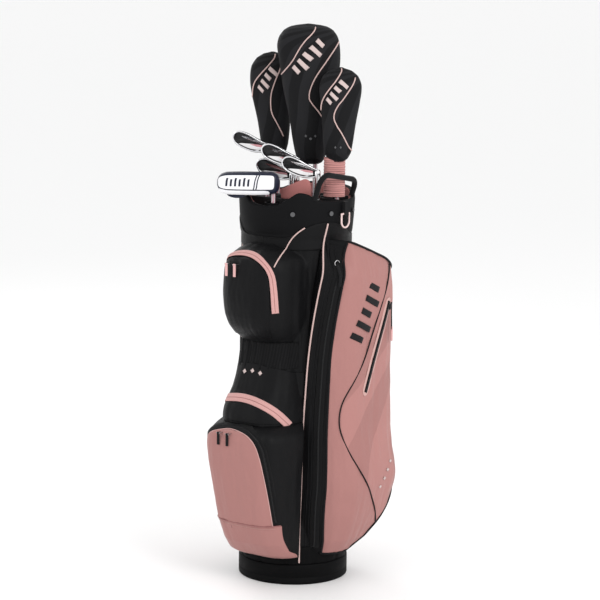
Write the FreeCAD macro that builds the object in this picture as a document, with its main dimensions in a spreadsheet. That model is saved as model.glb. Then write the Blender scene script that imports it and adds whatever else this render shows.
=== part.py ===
import FreeCAD, Part
import math
import os
import re

import Sketcher

# A golf club set: a cart bag with its pockets, collar, handle, dividers and strap, and eight clubs
# that stand heads-up in it.  Millimetres, +Z up.  The origin is the middle of the flat foot, the
# front pockets face -Y and the large side pockets face +X and -X.
#
# Club heads are laid out on two bag-top directions: "along" (heel to toe, HEAD_TURN degrees from
# +X) and "across" (at right angles, towards the front right corner of the bag).

SIZES = [
    ("head_turn", 37),
    # base
    ("foot_radius", 121), ("foot_height", 45), ("foot_floor", 25), ("foot_wall", 6),
    ("boot_radius", 119.5), ("boot_top", 85), ("floor_pad_top", 31),
    # tube and collar
    ("tube_radius", 114), ("tube_wall", 2), ("tube_top", 790),
    ("collar_bottom", 765), ("collar_radius", 127), ("collar_top", 866), ("collar_inner", 117),
    ("collar_fit", 0.2), ("front_rim", 836), ("side_rim", 848), ("notch_half", 66),
    ("lining_thick", 2), ("lining_bottom", 800),
    ("divider_thick", 4), ("divider_bottom", 780), ("divider_top", 846), ("divider_reach", 113),
    ("rear_divider_y", 68), ("front_divider_y", -68), ("rear_cell_x", 45),
    ("front_cell_right", 58), ("front_cell_left", -34),
    ("panel_thick", 1.6), ("well_x", 5.6), ("well_y", -92.9), ("well_radius", 18.5), ("well_wall", 2),
    ("well_top", 840), ("padded_low_top", 869), ("padded_top", 893), ("padded_thick", 7),
    ("padded_start", 9), ("padded_end", 89),
    # handle, ring and studs
    ("handle_rod", 6), ("handle_bend", 22), ("handle_base_x", 100), ("handle_lean", 20),
    ("handle_foot", -70), ("handle_front", -74), ("handle_front_rise", 64),
    ("handle_heel", 64), ("handle_rear", 63), ("handle_rear_rise", 38),
    ("ring_x", 131), ("ring_z", 817), ("ring_rod", 2), ("ring_half", 14), ("ring_drop", 32),
    ("tab_half", 7), ("tab_top", 844), ("pin_fit", 0.05),
    ("stud_radius", 5), ("stud_proud", 2.4),
    # front pockets, each with the reach of its face in front of the bag's middle
    ("pocket_fit", 0.3), ("pocket_back", 80),
    ("upper_top", 752), ("upper_bottom", 541), ("upper_front", 186), ("upper_half", 86),
    ("middle_top", 540), ("middle_bottom", 366), ("middle_front", 150), ("middle_half", 80),
    ("lower_top", 365), ("lower_bottom", 62), ("lower_front", 218), ("lower_half", 104),
    ("lower_seam", 147),
    # side pockets
    ("side_top", 764), ("side_rear_top", 694), ("side_bottom", 66), ("side_out", 185),
    ("side_rear", 133),
    # spine and strap
    ("spine_half", 44), ("spine_out", 127), ("spine_bottom", 92), ("spine_top", 752),
    ("strap_half", 28), ("strap_thick", 9), ("strap_top", 742), ("strap_bottom", 262),
    ("strap_bow", 172),
    # zip pulls
    ("pull_length", 26), ("pull_half", 3), ("pull_thick", 2), ("pull_pin", 1.2),
    # clubs
    ("grip_length", 265), ("grip_butt", 12.6), ("grip_mouth", 9.6), ("shaft_butt", 7.4),
    ("shaft_tip", 4.5), ("shaft_gap", 0.05), ("cap_thick", 4),
    ("hosel_radius", 6.6), ("hosel_depth", 46),
    ("blade_length", 78), ("blade_heel", 17), ("blade_toe", 47), ("blade_thick", 14),
    ("cavity_depth", 7), ("cavity_edge", 6),
    ("putter_length", 104), ("putter_depth", 28), ("putter_height", 20),
    ("putter_case_half", 20), ("putter_case_heel", 13),
    # head covers
    ("cover_wall", 4), ("skirt_bore", 11),
]

doc = FreeCAD.newDocument("GolfClubSet")
sheet = doc.addObject("Spreadsheet::Sheet", "Sheet")
for row, (word, size) in enumerate(SIZES, 1):
    sheet.set(f"A{row}", word)
    sheet.set(f"B{row}", str(size))
    sheet.setAlias(f"B{row}", word)
doc.recompute()

sub_parts = []


# ---------------------------------------------------------------- helpers

def bound(text):
    """The expression with each size word read from the sheet."""
    return re.sub(r"[a-z][a-z_]+", lambda word: "Sheet." + word.group(), str(text))


def value(text):
    return float(sheet.evalExpression(bound(text)))


def bind(thing, **sizes):
    for name, text in sizes.items():
        thing.setExpression(name, bound(text))
    return thing


def place(thing, x=0, y=0, z=0, turn=0, axis=(0, 0, 1)):
    """Put a part at x, y, z (expressions), turned about the axis by the angle in degrees."""
    spin = FreeCAD.Rotation(FreeCAD.Vector(*axis), value(turn))
    thing.Placement = FreeCAD.Placement(FreeCAD.Vector(value(x), value(y), value(z)), spin)
    for key, text in (("x", x), ("y", y), ("z", z)):
        thing.setExpression("Placement.Base." + key, bound(text))
    return thing


def keep(thing, label):
    thing.Label = label
    sub_parts.append(thing)
    return thing


def primitive(kind, name, **sizes):
    return bind(doc.addObject("Part::" + kind, name), **sizes)


def block(name, x, y, z):
    """A box between pairs of expressions along x, y and z."""
    box = primitive("Box", name, Length=f"({x[1]}) - ({x[0]})", Width=f"({y[1]}) - ({y[0]})",
                    Height=f"({z[1]}) - ({z[0]})")
    return place(box, x[0], y[0], z[0])


def cut(name, base, *tools):
    for number, tool in enumerate(tools):
        step = doc.addObject("Part::Cut", f"{name}_{number}")
        step.Base = base
        step.Tool = tool
        base = step
    return base


def fuse(name, *pieces):
    joined = doc.addObject("Part::MultiFuse", name)
    joined.Shapes = list(pieces)
    return joined


def common(name, base, tool):
    shared = doc.addObject("Part::Common", name)
    shared.Base = base
    shared.Tool = tool
    return shared


def outline(body, role, corners, name):
    """A closed sketch through the corners, every one of them driven by the sheet."""
    sketch = body.newObject("Sketcher::SketchObject", name)
    plane = next(item for item in body.Origin.OriginFeatures if item.Role == role)
    sketch.AttachmentSupport = [(plane, "")]
    sketch.MapMode = "FlatFace"
    spots = [FreeCAD.Vector(value(across), value(up), 0) for across, up in corners]
    count = len(spots)
    for index in range(count):
        sketch.addGeometry(Part.LineSegment(spots[index], spots[(index + 1) % count]), False)
    for index in range(count):
        sketch.addConstraint(Sketcher.Constraint("Coincident", index, 2, (index + 1) % count, 1))
    for index, corner in enumerate(corners):
        for kind, axis, text in (("DistanceX", -2, corner[0]), ("DistanceY", -1, corner[1])):
            if value(text) == 0:
                sketch.addConstraint(Sketcher.Constraint("PointOnObject", index, 1, axis))
                continue
            number = sketch.addConstraint(
                Sketcher.Constraint(kind, -1, 1, index, 1, value(text)))
            sketch.setExpression(f"Constraints[{number}]", bound(text))
    return sketch


def new_body(name):
    return doc.addObject("PartDesign::Body", name)


def pad(body, sketch, length):
    feature = body.newObject("PartDesign::Pad", sketch.Name + "_pad")
    feature.Profile = sketch
    feature.SideType = "Symmetric"
    bind(feature, Length=length)
    return feature


def turned(name, corners):
    """A body turned about Z from an outline in the XZ plane."""
    body = new_body(name)
    sketch = outline(body, "XZ_Plane", corners, name + "_outline")
    feature = body.newObject("PartDesign::Revolution", name + "_turn")
    feature.Profile = sketch
    feature.ReferenceAxis = (sketch, ["V_Axis"])
    feature.Angle = 360
    return body


def slab(name, role, corners, thickness):
    """A body padded evenly both ways from an outline in one of the origin planes."""
    body = new_body(name)
    pad(body, outline(body, role, corners, name + "_outline"), thickness)
    return body


def rounded(name, solid, radius, wanted):
    """A Part fillet on the edges that the test picks."""
    doc.recompute()
    chosen = [number for number, edge in enumerate(solid.Shape.Edges, 1) if wanted(edge)]
    feature = doc.addObject("Part::Fillet", name)
    feature.Base = solid
    feature.Edges = [(number, radius, radius) for number in chosen]
    return feature


def tube_core(name):
    """The space that the bag's tube and its boot fill, with a sewing clearance."""
    tube = primitive("Cylinder", name + "_tube", Radius="tube_radius + pocket_fit",
                     Height="collar_top")
    boot = primitive("Cylinder", name + "_boot", Radius="boot_radius + pocket_fit",
                     Height="boot_top + pocket_fit")
    return fuse(name, tube, boot)


# ---------------------------------------------------------------- base

def base():
    ledge = "foot_radius - foot_wall"
    keep(turned("base_foot", [
        ("0", "0"), ("foot_radius - 3", "0"), ("foot_radius", "3"),
        ("foot_radius", "foot_height - 2"), ("foot_radius - 1.5", "foot_height"),
        (ledge, "foot_height"), (ledge, "foot_floor"), ("0", "foot_floor")]), "base_foot")
    keep(turned("base_boot", [
        ("tube_radius + pocket_fit", "foot_height"), ("boot_radius", "foot_height"),
        ("boot_radius", "boot_top - 4"), ("boot_radius - 2", "boot_top"),
        ("tube_radius + pocket_fit", "boot_top")]), "base_boot")
    pad_disc = primitive("Cylinder", "pad_disc", Radius="tube_radius - tube_wall - pocket_fit",
                         Height="floor_pad_top - foot_floor")
    keep(place(pad_disc, z="foot_floor"), "floor_pad")


def bag_tube():
    inner = "tube_radius - tube_wall"
    keep(turned("bag_tube", [
        (inner, "foot_floor"), ("tube_radius", "foot_floor"), ("tube_radius", "tube_top"),
        (inner, "tube_top")]), "bag_tube")


# ---------------------------------------------------------------- collar and dividers

def rim_notches(name, drop="0"):
    """The low front of the rim, over the putter well, and the two low sides."""
    front = block(name + "_front", ("-notch_half", "notch_half"),
                  ("-collar_radius - 5", "-80"), (f"front_rim - {drop}", "collar_top + 5"))
    right = block(name + "_right", ("90", "collar_radius + 5"), ("-84", "collar_radius"),
                  (f"side_rim - {drop}", "collar_top + 5"))
    left = block(name + "_left", ("-collar_radius - 5", "-90"), ("-84", "collar_radius"),
                 (f"side_rim - {drop}", "collar_top + 5"))
    return front, right, left


def collar():
    fit = "tube_radius + collar_fit"
    ring = turned("collar_ring", [
        (fit, "collar_bottom"), ("tube_radius + 6", "collar_bottom"),
        ("collar_radius - 4", "collar_bottom + 12"), ("collar_radius", "side_rim - 8"),
        ("collar_radius - 1", "collar_top - 3"), ("collar_radius - 5", "collar_top"),
        ("collar_inner + 1", "collar_top - 1"), ("collar_inner", "collar_top - 5"),
        ("collar_inner", "tube_top + 2"), (fit, "tube_top")])
    keep(cut("collar", ring, *rim_notches("collar_notch")), "top_collar")
    outer = "collar_inner - 0.1"
    inner = "collar_inner - 0.1 - lining_thick"
    lining = turned("lining_ring", [
        (inner, "lining_bottom"), (outer, "lining_bottom"), (outer, "collar_top - 6"),
        (inner, "collar_top - 6")])
    keep(cut("lining", lining, *rim_notches("lining_notch", "4")), "collar_lining")


def dividers():
    """Crossed walls that part the mouth of the bag into seven cells and a putter well."""
    half = "divider_thick / 2"
    reach = ("-divider_reach", "divider_reach")
    height = ("divider_bottom", "divider_top")
    rear = ("divider_thick / 2", "rear_divider_y - divider_thick / 2")
    front = ("front_divider_y + divider_thick / 2", "-divider_thick / 2")
    walls = [block("wall_centre", reach, (f"-{half}", half), height)]
    for name, y in (("rear", "rear_divider_y"), ("front", "front_divider_y")):
        walls.append(block("wall_" + name, reach, (f"{y} - {half}", f"{y} + {half}"), height))
    for name, x, span in (("rear_right", "rear_cell_x", rear), ("rear_left", "-rear_cell_x", rear),
                          ("front_right", "front_cell_right", front),
                          ("front_left", "front_cell_left", front)):
        walls.append(block("wall_" + name, (f"{x} - {half}", f"{x} + {half}"), span, height))
    mouth = primitive("Cylinder", "mouth_room", Radius="tube_radius - tube_wall - 0.1",
                      Height="collar_top")
    grid = common("grid_walls", fuse("grid_bars", *walls), mouth)
    keep(grid, "divider_grid")
    sheet_half = "panel_thick / 2"
    for name, y, width in (("divider_panel_rear", "rear_divider_y", "87"),
                           ("divider_panel_centre", "0", "110"),
                           ("divider_panel_front", "front_divider_y", "87")):
        panel = block(name, (f"-{width}", width), (f"{y} - {sheet_half}", f"{y} + {sheet_half}"),
                      ("floor_pad_top", "divider_bottom"))
        keep(panel, name)
    padded = slab("padded", "XZ_Plane", [
        ("padded_start", "divider_top"), ("padded_end", "divider_top"),
        ("padded_end", "padded_top - 9"), ("padded_end - 7", "padded_top"),
        ("padded_end - 20", "padded_top - 1"), ("padded_start", "padded_low_top")],
        "padded_thick")
    keep(place(padded, y="front_divider_y"), "divider_pad_front")
    well = turned("well_tube", [
        ("well_radius - well_wall", "divider_bottom - 10"), ("well_radius", "divider_bottom - 10"),
        ("well_radius", "well_top"), ("well_radius - well_wall", "well_top")])
    keep(place(well, "well_x", "well_y"), "putter_well")


# ---------------------------------------------------------------- handle, ring, studs

def bent_path(body, name, corners, bend):
    """A sketched line through (y, z) corners, each inner one rounded to the bend radius."""
    path = body.newObject("Sketcher::SketchObject", name)
    plane = next(item for item in body.Origin.OriginFeatures if item.Role == "YZ_Plane")
    path.AttachmentSupport = [(plane, "")]
    path.MapMode = "FlatFace"
    spots = [FreeCAD.Vector(value(across), value(up), 0) for across, up in corners]
    start = spots[0]
    for before, corner, after in zip(spots, spots[1:], spots[2:]):
        into = (corner - before).normalize()
        out = (after - corner).normalize()
        half_turn = into.getAngle(out) / 2
        reach = bend * math.tan(half_turn)
        first = corner - into * reach
        last = corner + out * reach
        crest = corner + (out - into).normalize() * (bend / math.cos(half_turn) - bend)
        path.addGeometry(Part.LineSegment(start, first), False)
        path.addGeometry(Part.Arc(first, crest, last), False)
        start = last
    path.addGeometry(Part.LineSegment(start, spots[-1]), False)
    return path


def handle():
    """A padded rod that rises from the right rim, leans out and slopes down to the rear."""
    body = new_body("handle_rod")
    path = bent_path(body, "handle_path", [
        ("handle_foot", "-20"), ("handle_front", "handle_front_rise"),
        ("handle_rear", "handle_rear_rise"), ("handle_heel", "-20")], value("handle_bend"))
    ring = body.newObject("Sketcher::SketchObject", "handle_section")
    floor = next(item for item in body.Origin.OriginFeatures if item.Role == "XY_Plane")
    ring.AttachmentSupport = [(floor, "")]
    ring.MapMode = "FlatFace"
    ring.AttachmentOffset = FreeCAD.Placement(FreeCAD.Vector(0, 0, -20), FreeCAD.Rotation())
    foot = FreeCAD.Vector(0, value("handle_foot"), 0)
    ring.addGeometry(Part.Circle(foot, FreeCAD.Vector(0, 0, 1), value("handle_rod")), False)
    number = ring.addConstraint(Sketcher.Constraint("Radius", 0, value("handle_rod")))
    ring.setExpression(f"Constraints[{number}]", bound("handle_rod"))
    pipe = body.newObject("PartDesign::AdditivePipe", "handle_pipe")
    pipe.Profile = ring
    pipe.Spine = path
    place(body, "handle_base_x", "0", "side_rim", "handle_lean", (0, 1, 0))
    under = block("under_handle", ("0", "200"), ("-150", "150"), ("700", "side_rim + 0.1"))
    keep(cut("handle", body, under), "carry_handle")


def ring_and_studs():
    """The towel ring hangs from a webbing tab on the right of the collar."""
    bar = primitive("Cylinder", "ring_bar", Radius="ring_rod", Height="2 * ring_half")
    place(bar, "0", "ring_half", "0", "90", (1, 0, 0))
    bow = primitive("Torus", "ring_bow", Radius1="ring_half", Radius2="ring_rod")
    place(bow, "0", "0", "-ring_drop + ring_half + ring_rod", "90", (0, 1, 0))
    lower = common("ring_lower", bow, block("ring_lower_room", ("-10", "10"), ("-30", "30"),
                                            ("-60", "-ring_drop + ring_half + ring_rod")))
    legs = []
    for name, y in (("front", "-ring_half"), ("rear", "ring_half")):
        leg = primitive("Cylinder", "ring_leg_" + name, Radius="ring_rod",
                        Height="ring_drop - ring_half - ring_rod")
        legs.append(place(leg, "0", y, "-ring_drop + ring_half + ring_rod"))
    knuckles = []
    for name, y in (("front", "-ring_half"), ("rear", "ring_half")):
        ball = primitive("Sphere", "ring_ball_" + name, Radius="ring_rod")
        knuckles.append(place(ball, "0", y, "0"))
    ring = fuse("ring", bar, lower, *legs, *knuckles)
    keep(place(ring, "ring_x", "0", "ring_z"), "towel_ring")

    strip = block("tab_strip", ("collar_radius + 0.1", "ring_x + 4"), ("-tab_half", "tab_half"),
                  ("ring_z - 4", "tab_top"))
    hole = primitive("Cylinder", "tab_hole", Radius="ring_rod + pin_fit", Height="4 * tab_half")
    place(hole, "ring_x", "2 * tab_half", "ring_z", "90", (1, 0, 0))
    keep(cut("tab", strip, hole), "towel_ring_tab")

    studs = []
    for number, angle in enumerate((-57, -18, 160, 20)):
        stud = primitive("Cylinder", f"stud_{number}", Radius="stud_radius",
                         Height="stud_proud + 0.4")
        lift = value("collar_radius") - 0.2
        spin = FreeCAD.Rotation(FreeCAD.Vector(0, 0, 1), angle)
        tilt = FreeCAD.Rotation(FreeCAD.Vector(0, 1, 0), 90)
        out = spin.multVec(FreeCAD.Vector(lift, 0, 820))
        stud.Placement = FreeCAD.Placement(out, spin.multiply(tilt))
        studs.append(stud)
    keep(fuse("studs", *studs), "collar_studs")


# ---------------------------------------------------------------- pockets

def front_pocket(label, side, front, half):
    """A front pocket: its side outline and its front outline meet, less the bag's tube."""
    depth = slab(label + "_depth", "YZ_Plane", side, f"2 * {half}")
    face = slab(label + "_face", "XZ_Plane", front, "2 * lower_front + 80")
    swollen = common(label + "_swell", depth, face)
    keep(cut(label + "_cut", swollen, tube_core(label + "_core")), label)


def domed(half, low, high, corner):
    """A front outline with cut corners, symmetric about the middle."""
    return [(f"-{half}", low), (half, low), (half, f"{high} - {corner}"),
            (f"{half} - {corner} * 0.45", f"{high} - {corner} * 0.35"),
            (f"{half} - {corner}", high), (f"-{half} + {corner}", high),
            (f"-{half} + {corner} * 0.45", f"{high} - {corner} * 0.35"),
            (f"-{half}", f"{high} - {corner}")]


def front_pockets():
    front_pocket("upper_pocket", [
        ("-pocket_back", "upper_bottom"), ("-146", "upper_bottom"), ("-160", "upper_bottom + 28"),
        ("-upper_front", "upper_bottom + 90"), ("-upper_front", "upper_top - 46"),
        ("-upper_front + 14", "upper_top - 16"), ("-upper_front + 38", "upper_top"),
        ("-pocket_back", "upper_top")],
        domed("upper_half", "upper_bottom", "upper_top", "34"), "upper_half")
    front_pocket("middle_pocket", [
        ("-pocket_back", "middle_bottom"), ("-middle_front - 34", "middle_bottom"),
        ("-middle_front - 26", "middle_bottom + 40"), ("-middle_front - 6", "middle_bottom + 92"),
        ("-middle_front + 4", "middle_top"), ("-pocket_back", "middle_top")],
        domed("middle_half", "middle_bottom", "middle_top", "8"), "middle_half")
    front_pocket("lower_pocket", [
        ("-pocket_back", "lower_bottom"), ("-142", "lower_bottom"), ("-158", "lower_bottom + 30"),
        ("-lower_front + 26", "lower_seam"), ("-lower_front + 6", "lower_seam + 60"),
        ("-lower_front", "lower_top - 80"), ("-lower_front + 4", "lower_top - 16"),
        ("-lower_front + 20", "lower_top"), ("-pocket_back", "lower_top")],
        domed("lower_half", "lower_bottom", "lower_top", "14"), "lower_half")


# plan corners of the two garment pockets, from the front of the bag round to the spine
RIGHT_PLAN = [("50", "-pocket_back + pocket_fit"), ("97", "-pocket_back + pocket_fit"),
              ("136", "-64"), ("side_out - 14", "-28"), ("side_out - 2", "40"),
              ("side_out", "side_rear - 26"), ("side_out - 12", "side_rear - 6"),
              ("side_out - 34", "side_rear"), ("62", "side_rear"), ("40", "0")]
LEFT_PLAN = [("-50", "-pocket_back + pocket_fit"), ("-90", "-70"), ("-120", "-40"),
             ("-side_out + 35", "0"), ("-side_out + 5", "36"), ("-side_out", "side_rear - 26"),
             ("-side_out + 12", "side_rear - 6"), ("-side_out + 34", "side_rear"),
             ("-62", "side_rear"), ("-40", "0")]


def side_pocket(label, plan, room):
    """A large garment pocket on one side; its plan and its side outline meet, less the tube."""
    body = new_body(label + "_plan")
    feature = body.newObject("PartDesign::Pad", label + "_plan_pad")
    feature.Profile = outline(body, "XY_Plane", plan, label + "_plan_outline")
    bind(feature, Length="side_top")
    profile = slab(label + "_profile", "YZ_Plane", [
        ("-100", "side_bottom"), ("-10", "side_bottom"), ("54", "side_bottom + 36"),
        ("side_rear - 14", "side_bottom + 106"), ("side_rear + 2", "side_bottom + 168"),
        ("side_rear + 2", "side_rear_top"), ("60", "side_rear_top + 34"), ("-10", "side_top"),
        ("-34", "side_top"), ("-100", "side_top - 330")], "2 * side_out + 40")
    shell = common(label + "_swell", body, profile)
    sided = common(label + "_sided", shell,
                   block(label + "_half", room, ("-200", "200"), ("0", "900")))
    keep(cut(label + "_cut", sided, tube_core(label + "_core")), label)


# ---------------------------------------------------------------- spine and strap

def spine_and_strap():
    spine = block("spine_block", ("-spine_half", "spine_half"), ("90", "spine_out"),
                  ("spine_bottom", "spine_top"))
    keep(cut("spine", spine, tube_core("spine_core")), "spine_panel")
    inner = [("spine_out + 0.1", "strap_bottom"), ("strap_bow - 22", "strap_bottom + 66"),
             ("strap_bow", "strap_bottom + 160"), ("strap_bow", "strap_top - 190"),
             ("strap_bow - 20", "strap_top - 76"), ("spine_out + 0.1", "strap_top")]
    outer = [("spine_out + 0.1", "strap_top + 14"), ("strap_bow - 12", "strap_top - 64"),
             ("strap_bow + strap_thick", "strap_top - 186"),
             ("strap_bow + strap_thick", "strap_bottom + 156"),
             ("strap_bow - 14", "strap_bottom + 54"), ("spine_out + 0.1", "strap_bottom - 14")]
    keep(slab("strap", "YZ_Plane", inner + outer, "2 * strap_half"), "shoulder_strap")


# ---------------------------------------------------------------- zip pulls

def zip_pull(label, x, y, top):
    """A pull tab with a round eye; it swings on the pin of its slider."""
    tab = block(label + "_tab", ("-pull_half", "pull_half"), ("-pull_thick / 2", "pull_thick / 2"),
                ("-pull_length", "0"))
    eye = primitive("Cylinder", label + "_eye", Radius="pull_thick", Height="2 * pull_half")
    place(eye, "-pull_half", "0", "0", "90", (0, 1, 0))
    hole = primitive("Cylinder", label + "_hole", Radius="pull_pin + pin_fit",
                     Height="4 * pull_half")
    place(hole, "-2 * pull_half", "0", "0", "90", (0, 1, 0))
    pull = cut(label + "_cut", fuse(label + "_joined", tab, eye), hole)
    keep(place(pull, x, y, top), label)


def slider_pin(label, x, y, top, reach):
    """The slider's bridge pin, which runs through the eye, and its two arms to the zip behind."""
    pin = primitive("Cylinder", label + "_pin", Radius="pull_pin", Height="2 * pull_half + 3")
    place(pin, f"{x} - pull_half - 1.5", y, top, "90", (0, 1, 0))
    arms = []
    for side, start in (("left", f"{x} - pull_half - 1.5"), ("right", f"{x} + pull_half + 0.3")):
        arms.append(block(f"{label}_{side}", (start, f"{start} + 1.2"),
                          (f"{y} - pull_pin", f"{y} + {reach}"),
                          (f"{top} - pull_pin", f"{top} + pull_pin")))
    return fuse(label, pin, *arms)


# x, y and height of each pull's pin, and how far behind it the zip lies
ZIP_PULLS = [
    ("upper_zip_pull_left", "-42", "-upper_front - 7", "upper_top - 40", "9.2"),
    ("upper_zip_pull_right", "-20", "-upper_front - 7", "upper_top - 40", "9.2"),
    ("lower_zip_pull_left", "-34", "-lower_front - 9", "lower_top - 16", "12.4"),
    ("lower_zip_pull_right", "-10", "-lower_front - 9", "lower_top - 16", "12.4"),
]


def zips():
    pins = []
    for label, x, y, top, reach in ZIP_PULLS:
        zip_pull(label, x, y, top)
        pins.append(slider_pin(label + "_slider", x, y, top, reach))
    keep(fuse("zip_slider_group", *pins), "zip_sliders")
    slider = block("side_slider", ("side_out + 0.4", "side_out + 4"), ("-4", "4"), ("-30", "7"))
    soft = rounded("side_slider_soft", slider, 1.2, lambda edge: edge.Length > 20)
    keep(place(soft, "0", "92", "608", "-24", (1, 0, 0)), "side_zip_slider")


# ---------------------------------------------------------------- clubs

# x and y of each shaft, and the height where the head's blade or body starts
IRONS = [
    ("seven_iron", -58, -31, 940),
    ("nine_iron", 28, -40, 919),
    ("pitching_wedge", 3.6, -25, 884),
    ("sand_wedge", 79.5, -34, 895),
]
# x, y, height of the body's middle, half-length, half-depth, half-height,
# shift of the body along and across, and the cover's widths, top, seam and bottom
WOODS = [
    ("driver", 13, 47, 1170, 56, 37, 30, -14, 0, 68, 42, 1218, 1120, 915),
    ("fairway_wood", -86.5, 42.6, 1110, 43, 22, 26, -14, -15.2, 52, 28, 1152, 1066, 930),
    ("hybrid", 94, 18, 1090, 38, 20, 22, 5, -1, 45, 26, 1129, 1052, 929),
]


def spot(x, y, along=0, across=0):
    """A plan point moved along the heads' long direction and across it."""
    turn = math.radians(value("head_turn"))
    return (x + along * math.cos(turn) + across * math.sin(turn),
            y + along * math.sin(turn) - across * math.cos(turn))


def shaft_and_grip(club, x, y, tip):
    """A tapered shaft whose butt is in a rubber grip that stands on the floor pad."""
    start = "floor_pad_top + cap_thick"
    rod = primitive("Cone", club + "_rod", Radius1="shaft_butt", Radius2="shaft_tip",
                    Height=f"{tip} - ({start})")
    keep(place(rod, x, y, start), club + "_shaft")
    sleeve = primitive("Cone", club + "_sleeve", Radius1="grip_butt", Radius2="grip_mouth",
                       Height="grip_length")
    core = primitive("Cone", club + "_core", Radius1="shaft_butt + shaft_gap",
                     Radius2="shaft_tip + shaft_gap", Height=f"{tip} - ({start})")
    place(core, "0", "0", "cap_thick")
    grip = cut(club + "_grip_cut", sleeve, core)
    keep(place(grip, x, y, "floor_pad_top"), club + "_grip")


def iron(club, x, y, low):
    """A cavity-back iron head, sole up; the blade runs away from the hosel, toe outwards."""
    tip = f"{low} - 6"
    shaft_and_grip(club, str(x), str(y), tip)
    blade = slab(club + "_blade", "XZ_Plane", [
        ("5", "1"), ("-12", "-2"), ("-blade_length + 42", "0"), ("-blade_length + 14", "11"),
        ("-blade_length + 2", "22"), ("-blade_length", "32"),
        ("-blade_length + 6", "blade_toe - 5"), ("-blade_length + 15", "blade_toe - 2"),
        ("-blade_length + 24", "blade_toe - 4"), ("4", "blade_heel"), ("8", "7")],
        "blade_thick")
    edge = "cavity_edge"
    hollow = slab(club + "_hollow", "XZ_Plane", [
        ("-10", f"{edge} - 2"), ("-blade_length + 40", edge),
        ("-blade_length + 16", f"{edge} + 13"), ("-blade_length + 9", "30"),
        ("-blade_length + 12", "blade_toe - 12"), ("-blade_length + 22", "blade_toe - 11"),
        ("-10", "blade_heel - 2")], "blade_thick")
    place(hollow, "0", "-cavity_depth")
    hosel = primitive("Cylinder", club + "_hosel", Radius="hosel_radius",
                      Height="hosel_depth + 10")
    place(hosel, "0", "0", "-hosel_depth")
    bore = primitive("Cone", club + "_bore", Radius1="shaft_tip + 6 * shaft_gap",
                     Radius2="shaft_tip + shaft_gap", Height="hosel_depth - 6 + 1")
    place(bore, "0", "0", "-hosel_depth - 1")
    head = cut(club + "_head_cut", fuse(club + "_head_joined", blade, hosel), hollow, bore)
    keep(place(head, str(x), str(y), str(low), "head_turn"), club + "_head")


def oval_loft(name, rings):
    """A body lofted through level ovals: each is a height, two half-widths and a shift in plan."""
    body = new_body(name)
    sketches = []
    for number, (level, major, minor, shift, back) in enumerate(rings):
        ring = body.newObject("Sketcher::SketchObject", f"{name}_ring_{number}")
        floor = next(item for item in body.Origin.OriginFeatures if item.Role == "XY_Plane")
        ring.AttachmentSupport = [(floor, "")]
        ring.MapMode = "FlatFace"
        ring.AttachmentOffset = FreeCAD.Placement(FreeCAD.Vector(0, 0, level), FreeCAD.Rotation())
        ring.addGeometry(Part.Ellipse(FreeCAD.Vector(shift, back, 0), major, minor), False)
        sketches.append(ring)
    loft = body.newObject("PartDesign::AdditiveLoft", name + "_loft")
    loft.Profile = sketches[0]
    loft.Sections = sketches[1:]
    return body


def wood(club, x, y, middle, length, depth, height, along, across, wide, deep, top, seam, bottom):
    """A wood head with its hosel, its padded cover and the cover's stretch skirt."""
    neck = middle - height
    tip = str(neck - 4)
    shaft_and_grip(club, str(x), str(y), tip)
    bulb = place(oval_loft(club + "_bulb", [
        (-height, length * 0.45, depth * 0.45, 0, 0),
        (-height * 0.6, length * 0.85, depth * 0.85, 0, 0), (0, length, depth, 0, 0),
        (height * 0.6, length * 0.82, depth * 0.82, 0, 0),
        (height, length * 0.4, depth * 0.4, 0, 0)]), str(along), str(-across))
    hosel = primitive("Cone", club + "_hosel", Radius1="hosel_radius", Radius2="hosel_radius + 0.5",
                      Height=height + 6)
    place(hosel, "0", "0", str(-height - 14))
    bore = primitive("Cone", club + "_bore", Radius1="shaft_tip + 6 * shaft_gap",
                     Radius2="shaft_tip + shaft_gap", Height="14")
    place(bore, "0", "0", str(-height - 16))
    head = cut(club + "_head_cut", fuse(club + "_head_joined", bulb, hosel), bore)
    keep(place(head, str(x), str(y), str(middle), "head_turn"), club + "_head")

    def oval(name, less, low, high):
        ring = primitive("Ellipse", name + "_oval", MajorRadius=f"{wide} - {less}",
                         MinorRadius=f"{deep} - {less}")
        place(ring, "0", "0", low)
        solid = doc.addObject("Part::Extrusion", name)
        solid.Base = ring
        solid.Dir = FreeCAD.Vector(0, 0, 1)
        solid.DirMode = "Custom"
        solid.Solid = True
        return bind(solid, LengthFwd=f"({high}) - ({low})")

    def dome(name, less, low, high):
        half = primitive("Ellipsoid", name, Radius1=f"({high}) - ({low})",
                         Radius2=f"{wide} - {less}", Radius3=f"{deep} - {less}")
        half.Angle1 = 0
        return place(half, "0", "0", low)

    crown = str(top - 36)
    cx, cy = spot(x, y, along, across)
    outside = fuse(club + "_cover_out", oval(club + "_cover_side", "0", str(seam), crown),
                   dome(club + "_cover_dome", "0", crown, str(top)))
    inside = fuse(club + "_cover_in",
                  oval(club + "_cover_room", "cover_wall", str(seam - 10), crown),
                  dome(club + "_cover_vault", "cover_wall", crown, f"{top} - cover_wall"))
    cover = cut(club + "_cover_cut", outside, inside)
    keep(place(cover, str(cx), str(cy), "0", "head_turn"), club + "_cover")

    # the skirt narrows from the cover's seam to a neck on the shaft
    body = oval_loft(club + "_skirt", [(seam - 0.2, wide - 0.5, deep - 0.5, 0, 0),
                                       (bottom, 22, 20, -along, across)])
    hole = primitive("Cylinder", club + "_skirt_hole", Radius="skirt_bore", Height=str(seam))
    place(hole, str(-along), str(across), "0")
    skirt = cut(club + "_skirt_cut", body, hole)
    keep(place(skirt, str(cx), str(cy), "0", "head_turn"), club + "_cover_skirt")


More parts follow.
